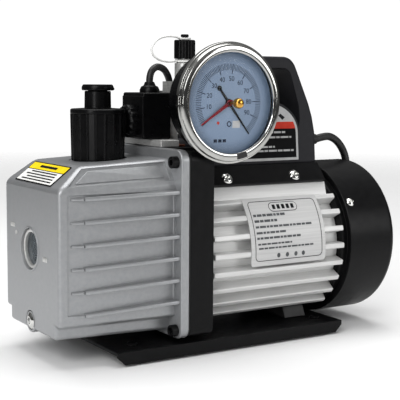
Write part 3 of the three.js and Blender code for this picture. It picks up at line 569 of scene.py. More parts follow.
def word_spans(left, right, lengths, first, gap):
    """Ends of the bars that stand in for a line of words. The lengths repeat from the given first one."""
    spans = []
    while left < right - 1:
        end = min(left + lengths[(first + len(spans)) % len(lengths)], right)
        spans.append((left, end))
        left = end + gap
    return spans


SHARP = math.radians(32)  # edges that bend by more than this are softened, or drawn sharp


def dress(node, look):
    """Gives a CAD node the look of a slot. The label slot has foil for its look."""
    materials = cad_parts[node].data.materials
    materials.clear()
    materials.append(LOOKS["foil" if look == "label" else look])


def add_piece(name, bm, look, node=None, slot=None, body=BODY, edge=0.0, segments=2):
    """Puts a shape in the scene as a piece. The CAD node that it replaces is dressed like slot, or like look
    where none is given.

    node is the CAD node that the piece replaces, body is the CAD body that it moves with, and edge is the
    width of its softened edges in mm.
    """
    bmesh.ops.recalc_face_normals(bm, faces=bm.faces)
    bm.transform(TO_ROW)
    mesh = mesh_of(bm, name)
    mesh.materials.append(LOOKS[look])
    mesh.shade_smooth()
    piece = in_scene(name, mesh)
    if edge:
        soft = piece.modifiers.new("edges", "BEVEL")
        soft.width = edge * MM
        soft.segments = segments
        soft.limit_method = "ANGLE"
        soft.angle_limit = SHARP
        soft.miter_outer = "MITER_ARC"
        piece.modifiers.new("shading", "WEIGHTED_NORMAL")
    else:
        mesh.set_sharp_from_angle(angle=SHARP)
    if node:
        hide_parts(node)
        dress(node, slot or look)
    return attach(piece, body) if body else piece


# ---------- fasteners ----------
def pan_screw(radius, height, place, direction):
    """A domed screw head with a cross recess."""
    dome = [(1, 0.18), (0.82, 0.62), (0.45, 0.93), (0, 1)]
    profile = [(0, -0.4), (radius, -0.4), *((radius * out, height * up) for out, up in dome)]
    head = turned(profile, "z", (0, 0, 0), 32)
    arm, slot = radius * 0.62, radius * 0.15
    recess = [
        block((-arm, arm), (-slot, slot), (height * 0.45, height * 2)),
        block((-slot, slot), (-arm, arm), (height * 0.45, height * 2)),
    ]
    return aimed(carve(head, *recess), place, direction)


def socket_screw(radius, height, place, direction):
    """A cylinder head with a hexagon socket."""
    head = rod(radius, 0, height, "z", (0, 0, 0), 40)
    key = rod(radius * 0.55, height * 0.4, 2 * height, "z", (0, 0, 0), 6)
    return aimed(carve(head, key), place, direction)


# ---------- oil case ----------
CASE = {
    "front_half": 46.8,
    "rear_half": 52.5,
    "crest_half": 38.7,
    "crest_rear_half": 41,
    "step": 33.3,
    "shoulder": (122.8, 125.5),
    "crest": (137.8, 141.3),
    "slope": 19.6,
}
FLANGE = {"front": 86.8, "rear": 93.6, "half": 61.25, "low": 13.7, "high": 148, "corner": 8}
SIGHT = {"y": 2, "z": 77.6, "radius": 14.6}
DRAIN = {"y": 2, "z": 25.9}


def case_shell():
    """The case down to its step and the narrower foot below, with panels and holes let into them."""
    rear = FLANGE["front"] + 1
    upper = []
    for side in (-1, 1):
        upper += [
            (0, side * CASE["front_half"], CASE["step"] - 4),
            (0, side * CASE["front_half"], CASE["shoulder"][0]),
            (CASE["slope"], side * CASE["crest_half"], CASE["crest"][0]),
            (rear, side * CASE["rear_half"], CASE["step"] - 4),
            (rear, side * CASE["rear_half"], CASE["shoulder"][1]),
            (rear, side * CASE["crest_rear_half"], CASE["crest"][1]),
        ]
    foot = [
        (x, side * half, z)
        for side in (-1, 1)
        for x, half, low in ((0, 39.2, 19.8), (rear, 44.5, 18.5))
        for z in (low, 48)
    ]
    shell = joined(hull(upper), hull(foot))
    round_edges(shell, 2.8, 5, lambda edge: min(vert.co.x for vert in edge.verts) < FLANGE["front"])
    exhaust = pump_box("exhaust_filter")
    seat = ((exhaust[0].x + exhaust[1].x) / 2, 0, 0)
    holes = [
        rod(20.8, 138.1, 150, "z", seat),
        rod(SIGHT["radius"], -1, 8, "x", (0, SIGHT["y"], SIGHT["z"])),
    ]
    recesses = mirrored(lambda side: slope_slab(side, SLOPE_RECESS, -1.4, 5))
    plateaus = mirrored(lambda side: slope_slab(side, SLOPE_PLATEAU, -3, -0.7))
    return joined(carve(shell, *mirrored(side_panel), *recesses, *holes), *plateaus)


def case_side(x):
    """Half width of the case at a distance from its end face."""
    return between(CASE["front_half"], CASE["rear_half"], x / FLANGE["front"])


def side_panel(side):
    corners = [
        (x, side * (case_side(x) + out), z)
        for x in (6, FLANGE["front"] - 0.5)
        for z in (37.5, 119.5)
        for out in (-1.3, 6)
    ]
    return hull(corners, 0.8)


# Corners of two slabs on the slopes: distance from the end face, and share of the way up the slope.
SLOPE_RECESS = [(7, 0.13), (20.5, 0.88), (84, 0.13), (84, 0.88)]
SLOPE_PLATEAU = [(13.5, 0.26), (24.5, 0.76), (80, 0.26), (78, 0.76)]


def slope_slab(side, corners, low, high):
    """A slab over part of a slope, between two heights above the slope."""
    points = []
    for x, up in corners:
        share = x / FLANGE["front"]
        y = between(case_side(x), between(38, 40.7, share), up)
        z = between(between(*CASE["shoulder"], share), between(*CASE["crest"], share), up)
        points += [(x, side * (y + 0.84 * out), z + 0.54 * out) for out in (low, high)]
    return hull(points, 0.4, 2)


def case_rib(side, index, count=6):
    """One rib on the side of the case, with a short pad in front of it."""
    share = index / (count - 1)
    z_front, z_rear = between(36.9, 116.6, share), between(41, 118.7, share)
    rear = FLANGE["front"] + 1
    pad = [(9.2, 45, z_front), (9.2, 47.4, z_front), (17.6, 49.4, z_front), (17.6, 45, z_front)]
    rib = [(18.4, 45, z_front), (18.4, 49.8, z_front), (rear, 59.6, z_rear), (rear, 45, z_rear)]
    bars = [
        hull([(x, side * y, z + end) for x, y, z in outline for end in (-half, half)], 0.5, 2)
        for outline, half in ((pad, 0.9), (rib, 1.3))
    ]
    return merged(*bars)


def flange_outline(inset=0.0):
    half, low, high = FLANGE["half"] - inset, FLANGE["low"] + inset, FLANGE["high"] - inset
    return rounded_rectangle(-half, half, low, high, FLANGE["corner"], 8)


def level_mark(y, z):
    """Three small raised bars on the end face."""
    places = [y + 2.6 * step for step in (-1, 0, 1)]
    return merged(*(block((-0.5, 0.3), (at - 0.9, at + 0.9), (z - 1.6, z + 1.6), 0.2, 2) for at in places))


def add_oil_case():
    sight = (0, SIGHT["y"], SIGHT["z"])
    drain = (0, DRAIN["y"], DRAIN["z"])
    boss = turned([(8.4, 14), (8.4, 0.6), (7.9, 0), (6.4, 0), (6.4, 3), (0, 3), (0, 14)], "x", drain)
    hole = SIGHT["radius"]
    rim = turned(
        [(hole, 4), (hole, -0.5), (15.1, -0.8), (15.8, -0.4), (16, 0.4), (16, 4), (hole, 4)], "x", sight
    )
    add_piece("oil_case_shell", case_shell(), "cast_paint", "oil_case", edge=0.8)
    add_piece("oil_case_drain_boss", boss, "cast_paint", edge=0.5)
    add_piece("oil_case_sight_rim", rim, "cast_paint", edge=0.2)
    ribs = [case_rib(side, index) for side in (-1, 1) for index in range(6)]
    add_piece("oil_case_ribs", merged(*ribs), "cast_paint")
    flange = prism(flange_outline(), "x", FLANGE["front"], FLANGE["rear"])
    add_piece("oil_case_flange", flange, "cast_paint", edge=1.2, segments=3)
    dot = rod(1.5, -0.5, 0.3, "x", (0, 25.9, 86.4), 20)
    marks = merged(level_mark(32.4, 91.4), level_mark(-24.5, 73.6), dot)
    add_piece("oil_level_marks", marks, "machined", slot="cast_paint")
    ring = turned([(11.8, 1.2), (13.2, 0.9), (14.2, 1.2), (14.2, 3.6), (11.8, 3.6), (11.8, 1.2)], "x", sight)
    add_piece("sight_ring", ring, "machined", "sight_glass_ring", slot="aluminium", edge=0.3)
    window = rod(13.9, 4, 7.2, "x", sight, 96)
    add_piece("sight_window", window, "sight", "sight_glass", slot="glass", edge=0.3)
    # A black disc at the bottom of the sight hole: painted shade for the dark inside of the case behind the
    # window.
    add_piece("sight_shade_disc", rod(14.2, 7.4, 8.6, "x", sight), "gauge_black", slot="carbon")
    plug_profile = [(0, -1.6), (3.4, -1.2), (5.8, 0), (6.9, 1.6), (6.9, 2.4), (3.9, 2.4), (3.9, 12), (0, 12)]
    plug = carve(turned(plug_profile, "x", drain), rod(2.6, -3, 0.8, "x", drain, 6))
    add_piece("drain_plug_head", plug, "chrome", "drain_plug", body="oil_drain_plug", edge=0.4)
    gasket = prism(flange_outline(0.4), "x", 93.8, 94.4)
    add_piece("gasket_sheet", gasket, "rubber", "case_gasket")
    screws = [
        socket_screw(4.25, 5, (FLANGE["front"], y, z), (-1, 0, 0)) for y in (-54.4, 54.4) for z in (20, 139.5)
    ]
    add_piece("case_screws", merged(*screws), "black_paint", edge=0.4)


def add_notice_plate():
    """A plain printed plate on the sloped front of the crest."""
    rise = CASE["crest"][0] - CASE["shoulder"][0]
    steep = math.atan2(rise, CASE["slope"])
    along, up = math.cos(steep), math.sin(steep)

    def sheet(start, end, left, right, lift):
        corners = [
            (d * along - h * up, y, CASE["shoulder"][0] + d * up + h * along)
            for d in (start, end)
            for y in (left, right)
            for h in (lift, lift + 0.14)
        ]
        return hull(corners)

    add_piece("notice_border", sheet(2.2, 22.6, -30.5, 31, 0.3), "print_panel", "notice_plate", slot="label")
    add_piece("notice_field", sheet(3.2, 14.6, -29.3, 29.8, 0.46), "print_white", slot="label")
    add_piece("notice_band", sheet(15.4, 21.6, -29.3, 29.8, 0.46), "print_yellow", slot="label")
    rows = [sheet(4.6 + 2.6 * i, 5.7 + 2.6 * i, -26 + i, 24 - 5 * (i % 2), 0.6) for i in range(4)]
    mark = sheet(17.4, 19.6, -14, 14, 0.6)
    add_piece("notice_print", merged(*rows, mark), "print_black", slot="label")


# ---------- exhaust filter ----------
def add_exhaust():
    low, high = pump_box("exhaust_filter")
    centre = ((low.x + high.x) / 2, 0, 0)
    radius = (high.x - low.x) / 2
    cap_top = pump_box("exhaust_cap")[1].z
    top = 175.6
    facets = 18

    def fluted(angle):
        step = 2 * math.pi / facets
        offset = (angle % step) - step / 2
        ridge = 0.026 if abs(offset) > step * 0.4 else 0.0
        return math.cos(step / 2) / math.cos(offset) + ridge

    body = turned(
        [(12.2, 127), (12.2, 138.6), (radius * 0.935, 138.6), (radius * 0.95, 140),
         (radius * 0.98, top - 3.4), (radius * 0.93, top - 3.4), (0, top - 3.4)],
        "z", centre, facets * 12, fluted,
    )
    lid = turned(
        [(radius - 1, top - 3.6), (radius, top - 3.2), (radius, top - 0.7), (radius - 0.8, top),
         (9.6, top + 0.6), (9.4, 187.9), (9, 188.3), (7.4, 188.3), (7.4, top - 3), (radius - 1, top - 3.6)],
        "z", centre,
    )
    add_piece("filter_body", body, "black_plastic", "exhaust_filter", body="filter", edge=0.3)
    add_piece("filter_lid", lid, "black_plastic", body="filter", edge=0.3)
    cap = turned(
        [(0, 180), (7, 180), (7, 188.6), (11, 188.6), (11.5, 189.2), (11.5, 191), (10.8, cap_top - 0.5),
         (10.2, cap_top), (8.4, cap_top - 0.8), (0, cap_top - 0.8)],
        "z", centre,
    )
    lug = block((centre[0] + 9.8, centre[0] + 12.6), (-2, 2), (188.8, 190.6), 0.4)
    add_piece("filter_cap", merged(cap, lug), "black_plastic", "exhaust_cap", body="fill_cap", edge=0.25)


# ---------- bracket, motor and fan cover ----------
MOTOR = {"front": 113.9, "rear": 235.8, "root": 50.6, "tip": 59.6}
FIN = {"front": 116.6, "thick": 4.1, "pitch": 13.2, "first": 40.1, "count": 8}
RAIL = {"angle": 38.2, "outer": 63, "from": -26, "to": -12.4, "rear": 229}


def on_motor(side, radius, angle):
    """A point round the shaft, with the angle in degrees up from level on one side."""
    cos, sin = cos_sin(angle)
    return (side * radius * cos, SHAFT_Z + radius * sin)


def on_rail(side, out, across):
    """A point on the slope that carries the handle: out is its normal, and across runs down the slope."""
    cos, sin = cos_sin(RAIL["angle"])
    return (side * (out * cos + across * sin), SHAFT_Z + out * sin - across * cos)


def fin(side, angle):
    """One cooling fin: a little thicker at its root, with a flat tip."""
    half = FIN["thick"] / 2
    inner, tip = MOTOR["root"] - 1.5, MOTOR["tip"]
    section = [(inner, half * 1.15), (tip - 0.6, half), (tip, half - 0.6)]
    section += [(r, -a) for r, a in section[::-1]]
    outline = [(side * a, SHAFT_Z + b) for a, b in rotated(section, angle)]
    return prism(outline, "x", FIN["front"], MOTOR["rear"])


def rail(side):
    """The solid rail under a flange of the handle box. Its outer face drops to the first fin."""
    section = [
        on_rail(side, RAIL["outer"], RAIL["from"]),
        on_rail(side, RAIL["outer"], RAIL["to"]),
        on_motor(side, MOTOR["tip"], FIN["first"] + 1.6),
        on_motor(side, MOTOR["root"] - 1.5, FIN["first"]),
        on_motor(side, MOTOR["root"] - 1.5, FIN["first"] + 22),
    ]
    return hull([(x, *point) for x in (MOTOR["front"], RAIL["rear"]) for point in section])


def add_motor():
    tube = tube_ring(47, MOTOR["root"], MOTOR["front"], MOTOR["rear"], "x", ON_SHAFT, 128)
    angles = [FIN["first"] - FIN["pitch"] * step for step in range(FIN["count"])]
    fins = [fin(side, angle) for side in (-1, 1) for angle in angles]
    top = [fin(-1, angle) for angle in (78, 90, 102)]
    body = merged(tube, *fins, *top, *mirrored(rail))
    add_piece("motor_shell", body, "aluminium", "motor_housing", edge=0.3)
    add_piece(
        "motor_foot", cad_shape("motor_saddle"), "rubber", "motor_saddle", slot="black_paint", edge=0.8
    )


def add_bracket():
    shape = cad_shape("pump_bracket")
    add_piece("bracket_casting", shape, "black_paint", "pump_bracket", edge=1.0, segments=3)


def add_fan_cover():
    low, high = pump_box("fan_cover")
    front, rear, radius = low.x, high.x, (high.y - low.y) / 2
    rounding, wall = 6, 1.5
    corner = arc((radius - rounding, rear - rounding), rounding, 0, 90, 8)
    inside = arc((radius - rounding, rear - rounding), rounding - wall, 90, 0, 6)
    profile = [(radius - 0.4, front), (radius, front + 0.4), *corner, (0, rear), (0, rear - wall), *inside]
    shell = turned([*profile, (radius - wall, front), profile[0]], "x", ON_SHAFT, 144)
    slots = []
    for middle, count in ((20, 6), (31, 8), (42, 8)):
        for i in range(count):
            opening = block((-5, 5), (-2.2, 2.2), (middle - 4.5, middle + 4.5))
            turn = Matrix.Rotation(2 * math.pi * (i + 0.5) / count, 4, "X")
            opening.transform(Matrix.Translation((rear, 0, SHAFT_Z)) @ turn)
            slots.append(opening)
    add_piece("fan_cowl", carve(shell, *slots), "black_paint", "fan_cover", edge=0.2)
    shield = turned(
        [(17.9, 236.1), (55.9, 236.1), (56.5, 236.7), (56.5, 241.6), (60.1, 241.6), (60.1, 252), (55, 252),
         (55, 246), (22, 246), (22, 253), (8, 253), (8, 249.3), (17.9, 249.3), (17.9, 236.1)],
        "x", ON_SHAFT, 128,
    )
    add_piece("end_shield", shield, "black_paint", "rear_end_shield", edge=0.4)
    screws = []
    for degrees in (32, 148, 270):
        cos, sin = cos_sin(degrees)
        across = Vector((0, -cos, sin))
        screws.append(pan_screw(3.4, 1.7, Vector((front + 5.7, 0, SHAFT_Z)) + across * radius, across))
    add_piece("fan_cowl_screws", merged(*screws), "chrome", edge=0.15)


def wrapped(bm, radius, step=3.0):
    """Bends a flat shape drawn as (x, height, distance along the arc) round the motor on the gauge side."""
    low = min(v.co.z for v in bm.verts)
    high = max(v.co.z for v in bm.verts)
    for i in range(1, int((high - low) / step) + 1):
        cut = low + i * step
        bmesh.ops.bisect_plane(
            bm, geom=bm.verts[:] + bm.edges[:] + bm.faces[:], plane_co=(0, 0, cut), plane_no=(0, 0, 1)
        )
    for vert in bm.verts:
        turn = vert.co.z / radius
        reach = radius + vert.co.y
        vert.co = Vector((vert.co.x, -reach * math.cos(turn), SHAFT_Z + reach * math.sin(turn)))
    return bm


def on_plate(outline, start, end):
    """A flat print on the rating plate. Outline points are (x, degrees round the motor)."""
    radius = MOTOR["tip"]
    flat = prism([(x, math.radians(angle) * radius) for x, angle in outline], "y", start, end)
    return wrapped(flat, radius)


def plate_frame(left, right, low, high, corner, width):
    """A rounded line round the plate, as two outlines joined into a ring."""
    radius = MOTOR["tip"]
    arcs = [
        rounded_rectangle(left + inset, right - inset, low + inset, high - inset, corner - inset, 5)
        for inset in (0, width)
    ]
    count = len(arcs[0])
    points = [(x, height, s) for outline in arcs for height in (0.72, 0.86) for x, s in outline]
    faces = []
    for i in range(count):
        j = (i + 1) % count
        for low_row, high_row in ((1, 3), (0, 1), (2, 3), (0, 2)):
            low_start, high_start = low_row * count, high_row * count
            faces.append([low_start + i, low_start + j, high_start + j, high_start + i])
    return wrapped(polygon_mesh(points, faces), radius)


def add_nameplate():
    radius = MOTOR["tip"]
    low, high = math.radians(-8.5) * radius, math.radians(41.5) * radius
    plate = prism(rounded_rectangle(147.5, 216.5, low, high, 2), "y", 0.3, 0.7)
    add_piece("rating_plate", wrapped(plate, radius), "foil", "nameplate", slot="label")
    border = plate_frame(151, 213.2, math.radians(-5) * radius, math.radians(38.6) * radius, 3.4, 0.42)
    add_piece("rating_plate_border", border, "print_black", slot="label")
    rows = [
        (153, 183, 27.6, 0.9),
        (153, 173.5, 23.4, 0.9),
        (153, 205, 19.2, 0.75),
        (153, 180.5, 15, 0.75),
        (153, 193, 11.2, 0.75),
        (153.4, 184.5, 7, 0.6),
        (154, 204.6, 4, 0.6),
    ]
    words = []
    for row, (left, right, angle, half) in enumerate(rows):
        for start, end in word_spans(left, right, (2.6, 4.2, 3.1, 5.4, 2.2), row, 0.75):
            words.append(on_plate(rectangle(start, end, angle - half, angle + half), 0.72, 0.84))
    for x in (172, 180, 188, 195):
        dot = [(x + 1.5 * cos, -1.7 + 1.7 * sin) for cos, sin in (cos_sin(36 * i) for i in range(10))]
        words.append(on_plate(dot, 0.72, 0.84))
    add_piece("rating_plate_print", merged(*words), "print_grey", slot="label")
    add_badge()


def add_badge():
    """An oval badge with a plain mark in place of a name."""
    middle, half, height = 182.2, 13.2, 3.7
    centre_angle = 33.4

    def oval(inset, start, end):
        reach = half - height * 1.045
        radius = height - inset
        points = [
            (middle + sign * reach + radius * 1.045 * cos, centre_angle + radius * sin)
            for sign, first in ((1, -90), (-1, 90))
            for cos, sin in (cos_sin(first + 15 * i) for i in range(13))
        ]
        return on_plate(points, start, end)

    add_piece("badge_rim", oval(0, 0.72, 0.82), "print_black", slot="label")
    add_piece("badge_field", oval(0.45, 0.84, 0.88), "foil", slot="label")
    places = [middle - 8.6 + 4.3 * i for i in range(5)]
    bars = [on_plate(rectangle(x - 1.35, x + 1.35, 31.6, 35.2), 0.9, 0.96) for x in places]
    add_piece("badge_mark", merged(*bars), "print_black", slot="label")


# ---------- base and feet ----------
def add_base():
    add_piece("base_channel", cad_shape("base_plate"), "black_paint", "base_plate", edge=1.1, segments=3)
    for node in sorted(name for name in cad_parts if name.startswith("rubber_foot")):
        low, high = pump_box(node)
        x, y, radius, top = (low.x + high.x) / 2, (low.y + high.y) / 2, (high.x - low.x) / 2, high.z
        profile = [(0, 0), (radius - 1.4, 0), (radius - 0.4, 0.6), (radius, 1.6), (radius - 0.3, 3.4),
                   (radius - 0.9, 3.8), (radius - 0.6, 4.4), (radius - 1, top), (0, top)]
        add_piece(
            node.replace("rubber_foot", "foot"), turned(profile, "z", (x, y, 0), 48), "rubber", node,
            edge=0.2
        )
        screw = pan_screw(4, 2.1, (x, y, 11), (0, 0, 1))
        add_piece(
            node.replace("rubber_foot", "foot_screw"), screw, "gauge_black", slot="black_paint", edge=0.15
        )


# ---------- handle box ----------
HANDLE = {"half": 33, "bottom": 133.5, "top": 215, "front": 118, "rear": 228, "top_scale": 0.8}


def handle_outline():
    """Side view of the grip and the box under it, with rounded upper corners."""
    return [
        (HANDLE["front"], 131.8),
        (HANDLE["rear"], 131.8),
        (HANDLE["rear"], 156.7),
        (226, 168.6),
        (223, 178.7),
        *bend((211.6, 206.4), (208, 215), (199.5, HANDLE["top"]), 8),
        *bend((162, HANDLE["top"]), (152.6, 215), (149.6, 204.6), 8),
        (141.5, 178.7),
        (138.5, 156.7),
        (136, 151),
        (HANDLE["front"], 149),
    ]


LABEL = {"low": 135.8, "side": 157, "middle": 180.3, "half": 29.3, "rise": 22.5}


def arch(half, rise, start=0, steps=24):
    """Points along the upper part of an ellipse about the middle of the label, from right to left."""
    turns = [math.radians(between(start, 180 - start, i / steps)) for i in range(steps + 1)]
    return [(LABEL["middle"] + half * math.cos(t), LABEL["side"] + rise * math.sin(t)) for t in turns]


def hand_opening():
    """The opening's lower edge follows the arch of the label."""
    return [
        *arch(LABEL["half"] + 2.2, LABEL["rise"] + 2.2, 8)[::-1],
        (212.6, 168),
        (211.9, 178),
        (208.6, 190),
        *bend((205.6, 200.6), (203.6, 206.3), (197.5, 206.3), 6),
        *bend((164, 206.3), (157.8, 206.3), (155.8, 200.6), 6),
        (152.4, 190),
        (149, 178),
        (148.4, 168),
    ]


def leaned(bm):
    """The side walls lean in towards the top."""
    for vert in bm.verts:
        share = max(0, (vert.co.z - HANDLE["bottom"]) / (HANDLE["top"] - HANDLE["bottom"]))
        vert.co.y *= between(1, HANDLE["top_scale"], share)
    return bm


def on_wall(outline, lift, thick=0.12):
    """A flat print on the gauge side of the handle box."""
    return leaned(prism(outline, "y", -HANDLE["half"] - lift - thick, -HANDLE["half"] - lift))


FLANGES = {"inner": 63.3, "outer": 66.3, "from": -29.4}


def motor_space():
    return rod(MOTOR["tip"] + 0.5, 100, 240, "x", ON_SHAFT, 96)


def handle_flange(side):
    corners = [
        (x, *on_rail(side, out, across))
        for x in (HANDLE["front"], HANDLE["rear"])
        for out in (FLANGES["inner"], FLANGES["outer"])
        for across in (FLANGES["from"], RAIL["to"])
    ]
    return hull(corners)


def add_handle():
    half = HANDLE["half"]
    grip = prism(handle_outline(), "y", -half, half)
    round_edges(grip, 3.2, 4, lambda edge: abs(edge.verts[0].co.y - edge.verts[1].co.y) < 1e-4)
    leaned(grip)
    grip = carve(
        grip,
        prism(hand_opening(), "y", -50, 50),
        motor_space(),
        block((121.5, 224.5), (-28, 28), (100, 146)),
        block((142, 221.5), (-25, 25), (140, 156)),
        block((150.3, 208.5), (-25, 25), (150, 162)),
        rod(5, 215, 235, "x", (0, 0, 149), 32),
        block((164, 186), (20, 45), (139.5, 152.5)),
    )
    add_piece("handle_shell", grip, "grip_paint", "handle_box", slot="black_paint", edge=1.1, segments=3)
    flanges = mirrored(handle_flange)
    top, foot = on_rail(1, FLANGES["outer"], FLANGES["from"]), on_rail(1, FLANGES["inner"], RAIL["to"])
    outline = [(-foot[0], foot[1]), foot, top, (-top[0], top[1])]
    ends = [
        carve(prism(outline, "x", x, x + 3.5), motor_space())
        for x in (HANDLE["front"], HANDLE["rear"] - 3.5)
    ]
    add_piece("handle_flanges", merged(*flanges, *ends), "black_paint", edge=0.6)
    cos, sin = cos_sin(RAIL["angle"])
    screws = [
        pan_screw(4.6, 2.4, (x, *on_rail(side, FLANGES["outer"], -18.2)), (0, side * cos, sin))
        for x in (138, 200)
        for side in (-1, 1)
    ]
    add_piece("handle_screws", merged(*screws), "chrome", edge=0.2)


def label_outline(inset):
    half, low = LABEL["half"] - inset, LABEL["low"] + inset
    corners = [(LABEL["middle"] - half, low), (LABEL["middle"] + half, low)]
    return corners + arch(half, LABEL["rise"] - inset)


def clipped(outline, low, high):
    """The part of an outline between two heights."""
    flat = prism(outline, "y", 0, 1)
    for height, up in ((low, -1), (high, 1)):
        geometry = flat.verts[:] + flat.edges[:] + flat.faces[:]
        plane = {"plane_co": (0, 0, height), "plane_no": (0, 0, up)}
        bmesh.ops.bisect_plane(flat, geom=geometry, clear_outer=True, **plane)
    bmesh.ops.holes_fill(flat, edges=flat.edges)
    return flat


def add_handle_label():
    add_piece(
        "label_plate", on_wall(label_outline(0), 0.3, 0.4), "print_light", "handle_label", slot="label"
    )

    def field(low, high, lift):
        shape = clipped(label_outline(2), low, high)
        for vert in shape.verts:
            vert.co.y = -HANDLE["half"] - lift - (0.08 if vert.co.y < 0.5 else 0)
        return leaned(shape)

    add_piece("label_field", field(100, 160, 0.72), "print_panel", slot="label")
    add_piece("label_band", field(160, 165.2, 0.72), "print_red", slot="label")
    add_piece("label_crest", field(165.2, 190, 0.72), "print_light", slot="label")
    rows = [(157.3, 199, 0.7), (153.5, 203, 0.7), (146.3, 187, 0.7), (143.3, 205, 0.7)]
    words = []
    for row, (z, right, half) in enumerate(rows):
        for start, end in word_spans(156, right, (4.5, 6.5, 3.2, 7.5), row, 0.9):
            words.append(on_wall(rectangle(start, end, z - half, z + half), 0.84, 0.06))
    add_piece("label_print", merged(*words), "print_light", slot="label")
    mark = on_wall([(191, 170.2), (195, 166.6), (197.4, 168.6), (195, 170.2), (193.6, 171.4)], 0.84, 0.06)
    add_piece("label_mark", mark, "print_black", slot="label")


# ---------- switch ----------
def add_switch():
    add_piece("switch_frame", cad_shape("switch_bezel"), "black_plastic", "switch_bezel", edge=0.5)
    rocker = cad_shape("power_switch")
    add_piece("switch_rocker", rocker, "red_plastic", "power_switch", body="rocker", edge=0.4)


# ---------- inlet valve ----------
VALVE_LEAD = [
    (95.5, 0, 187.7), (95.5, 0, 193), (95.8, 0.2, 198.4), (97.8, 0.8, 203), (102.8, 2.2, 206),
    (109.4, 4.4, 204.8), (115, 7.8, 200.8), (119.2, 11.4, 195.4), (121.8, 14.4, 188.5), (123.6, 16.4, 180),
    (124.9, 17.2, 170), (125.7, 17.3, 160), (126, 17.2, 153), (126, 17.2, 147.5),
]
ON_VALVE = (0, 0, (pump_box("coil_nut")[0].z + pump_box("coil_nut")[1].z) / 2)


def add_valve():
    low, high = pump_box("inlet_base")
    plate = block((low.x, high.x), (low.y, high.y), (low.z, high.z))
    add_piece("inlet_plate", plate, "machined", "inlet_base", slot="aluminium", edge=0.6)
    add_piece("valve_block", cad_shape("valve_body"), "machined", "valve_body", slot="chrome", edge=0.5)
    washer = turned([(3, 148.2), (5.6, 148.2), (5.6, 149.6), (3, 149.6), (3, 148.2)], "z", (108, -20, 0), 40)
    add_piece("port_washer", washer, "copper", slot="brass", edge=0.2)
    coil_low, coil_high = pump_box("valve_coil")
    half = 15.7
    box_top = 187.2
    coil = block((coil_low.x, coil_high.x), (-half, half), (coil_low.z, box_top))
    band = block((coil_low.x - 0.5, coil_low.x + 1.6), (-half, half), (coil_low.z + 2.4, box_top - 2.4), 0.6)
    gland = turned(
        [(0, box_top - 1), (7.4, box_top - 1), (7.4, 189.2), (6.2, 191.6), (4.6, 192.2), (3.4, 195),
         (0, 195)],
        "z", (*VALVE_LEAD[0][:2], 0), 48,
    )
    body = carve(coil, rod(6.5, 60, 120, "x", ON_VALVE))
    add_piece("coil_moulding", body, "black_plastic", "valve_coil", edge=1.3, segments=3)
    add_piece("coil_face", carve(band, rod(6.6, 60, 120, "x", ON_VALVE)), "black_plastic")
    add_piece("coil_gland", gland, "black_plastic", edge=0.4)
    nut_low, nut_high = pump_box("coil_nut")
    nut = turned(
        [(6.5, nut_high.x), (11.6, nut_high.x), (12.2, nut_high.x - 1), (12.2, nut_low.x + 1.6),
         (10.6, nut_low.x), (5.4, nut_low.x), (5, nut_low.x + 1), (0, nut_low.x + 1), (0, nut_low.x + 2),
         (6.5, nut_low.x + 2), (6.5, nut_high.x)],
        "x", ON_VALVE, 112, knurled(0.035, 14),
    )
    add_piece("coil_knob", nut, "black_plastic", "coil_nut", edge=0.3)
    lead = swept(smooth_path(VALVE_LEAD), 2.6, 20)
    add_piece("valve_cable", lead, "rubber", "valve_lead")


# ---------- tee, cap and strap ----------
TEE = {"x": 123.3, "y": -4}
STRAP = [
    (120, -4, 227.2), (113.6, -4.9, 228.4), (103.6, -6.9, 227.9), (95.6, -9.1, 224.6), (91.5, -10.1, 219),
    (92.6, -10.1, 214.6), (97.8, -9.5, 211.2), (105.4, -8.1, 209.9), (116.6, -5.5, 210.4),
]


def add_tee():
    centre = (TEE["x"], TEE["y"], 0)
    column = turned(
        [(0, 160), (7, 160), (7.5, 160.6), (7.5, 209), (6, 209.4), (6, 211.4), (7.5, 211.4), (7.5, 211.8),
         (5, 211.8), (5, 218), (4.6, 218.4), (3, 218.4), (3, 172), (0, 172)],
        "z", centre, 48,
    )
    nut = turned([(6, 190), (8.3, 190), (8.3, 198), (6, 198), (6, 190)], "z", centre, 6)
    branch = rod(5.2, 114.8 - TEE["x"], 0, "x", (TEE["x"], TEE["y"], 180.3), 40)
    stem = rod(5.6, pump_box("gauge_case")[1].y + 0.3 - TEE["y"], 0, "y", (TEE["x"], TEE["y"], 180.7), 40)
    add_piece(
        "tee_fitting", merged(column, nut, branch, stem), "machined", "inlet_tee", slot="brass", edge=0.3
    )
    low, high = pump_box("inlet_cap")
    cap = turned(
        [(5.6, low.z), (7.6, low.z), (8, low.z + 0.6), (8, 225.4), (7.4, 226.2), (2.2, 226.2), (2.2, 228.2),
         (3, 228.4), (3, high.z - 0.4), (2.5, high.z), (0, high.z), (0, 220), (5.6, 220), (5.6, low.z)],
        "z", centre, 112, knurled(0.015, 28),
    )
    add_piece("cap_moulding", cap, "black_plastic", "inlet_cap", body="inlet_cap_body", edge=0.3)
    eyes = [
        tube_ring(2.6, 4.6, 226.6, 227.8, "z", centre, 40),
        tube_ring(6.4, 8, 209.8, 211, "z", centre, 48),
    ]
    cord = swept(smooth_path(STRAP, 8), 0.8, 12)
    strap = add_piece("strap_moulding", merged(*eyes, cord), "white_plastic", "cap_strap", body=None)
    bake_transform(strap)


# ---------- gauge ----------
GAUGE = {"x": 123.2, "z": 180.7, "front": -69.6, "dial": -64}
RESTING = {"pressure": -52, "setting": -147}  # degrees that the pointers stand at
GAUGE_CENTRE = (GAUGE["x"], 0, GAUGE["z"])
SCALE = {"zero": 216, "per_unit": 2.67}


def on_dial(outline, lift=0.05, thick=0.06):
    """A flat print on the dial. Outline points are measured from the dial's middle."""
    points = [(GAUGE["x"] + a, GAUGE["z"] + b) for a, b in outline]
    return prism(points, "y", GAUGE["dial"] - lift - thick, GAUGE["dial"] - lift)


def radial_bar(angle, start, end, half):
    """Outline of a bar that points away from the dial's middle."""
    return rotated(rectangle(start, end, -half, half), angle)


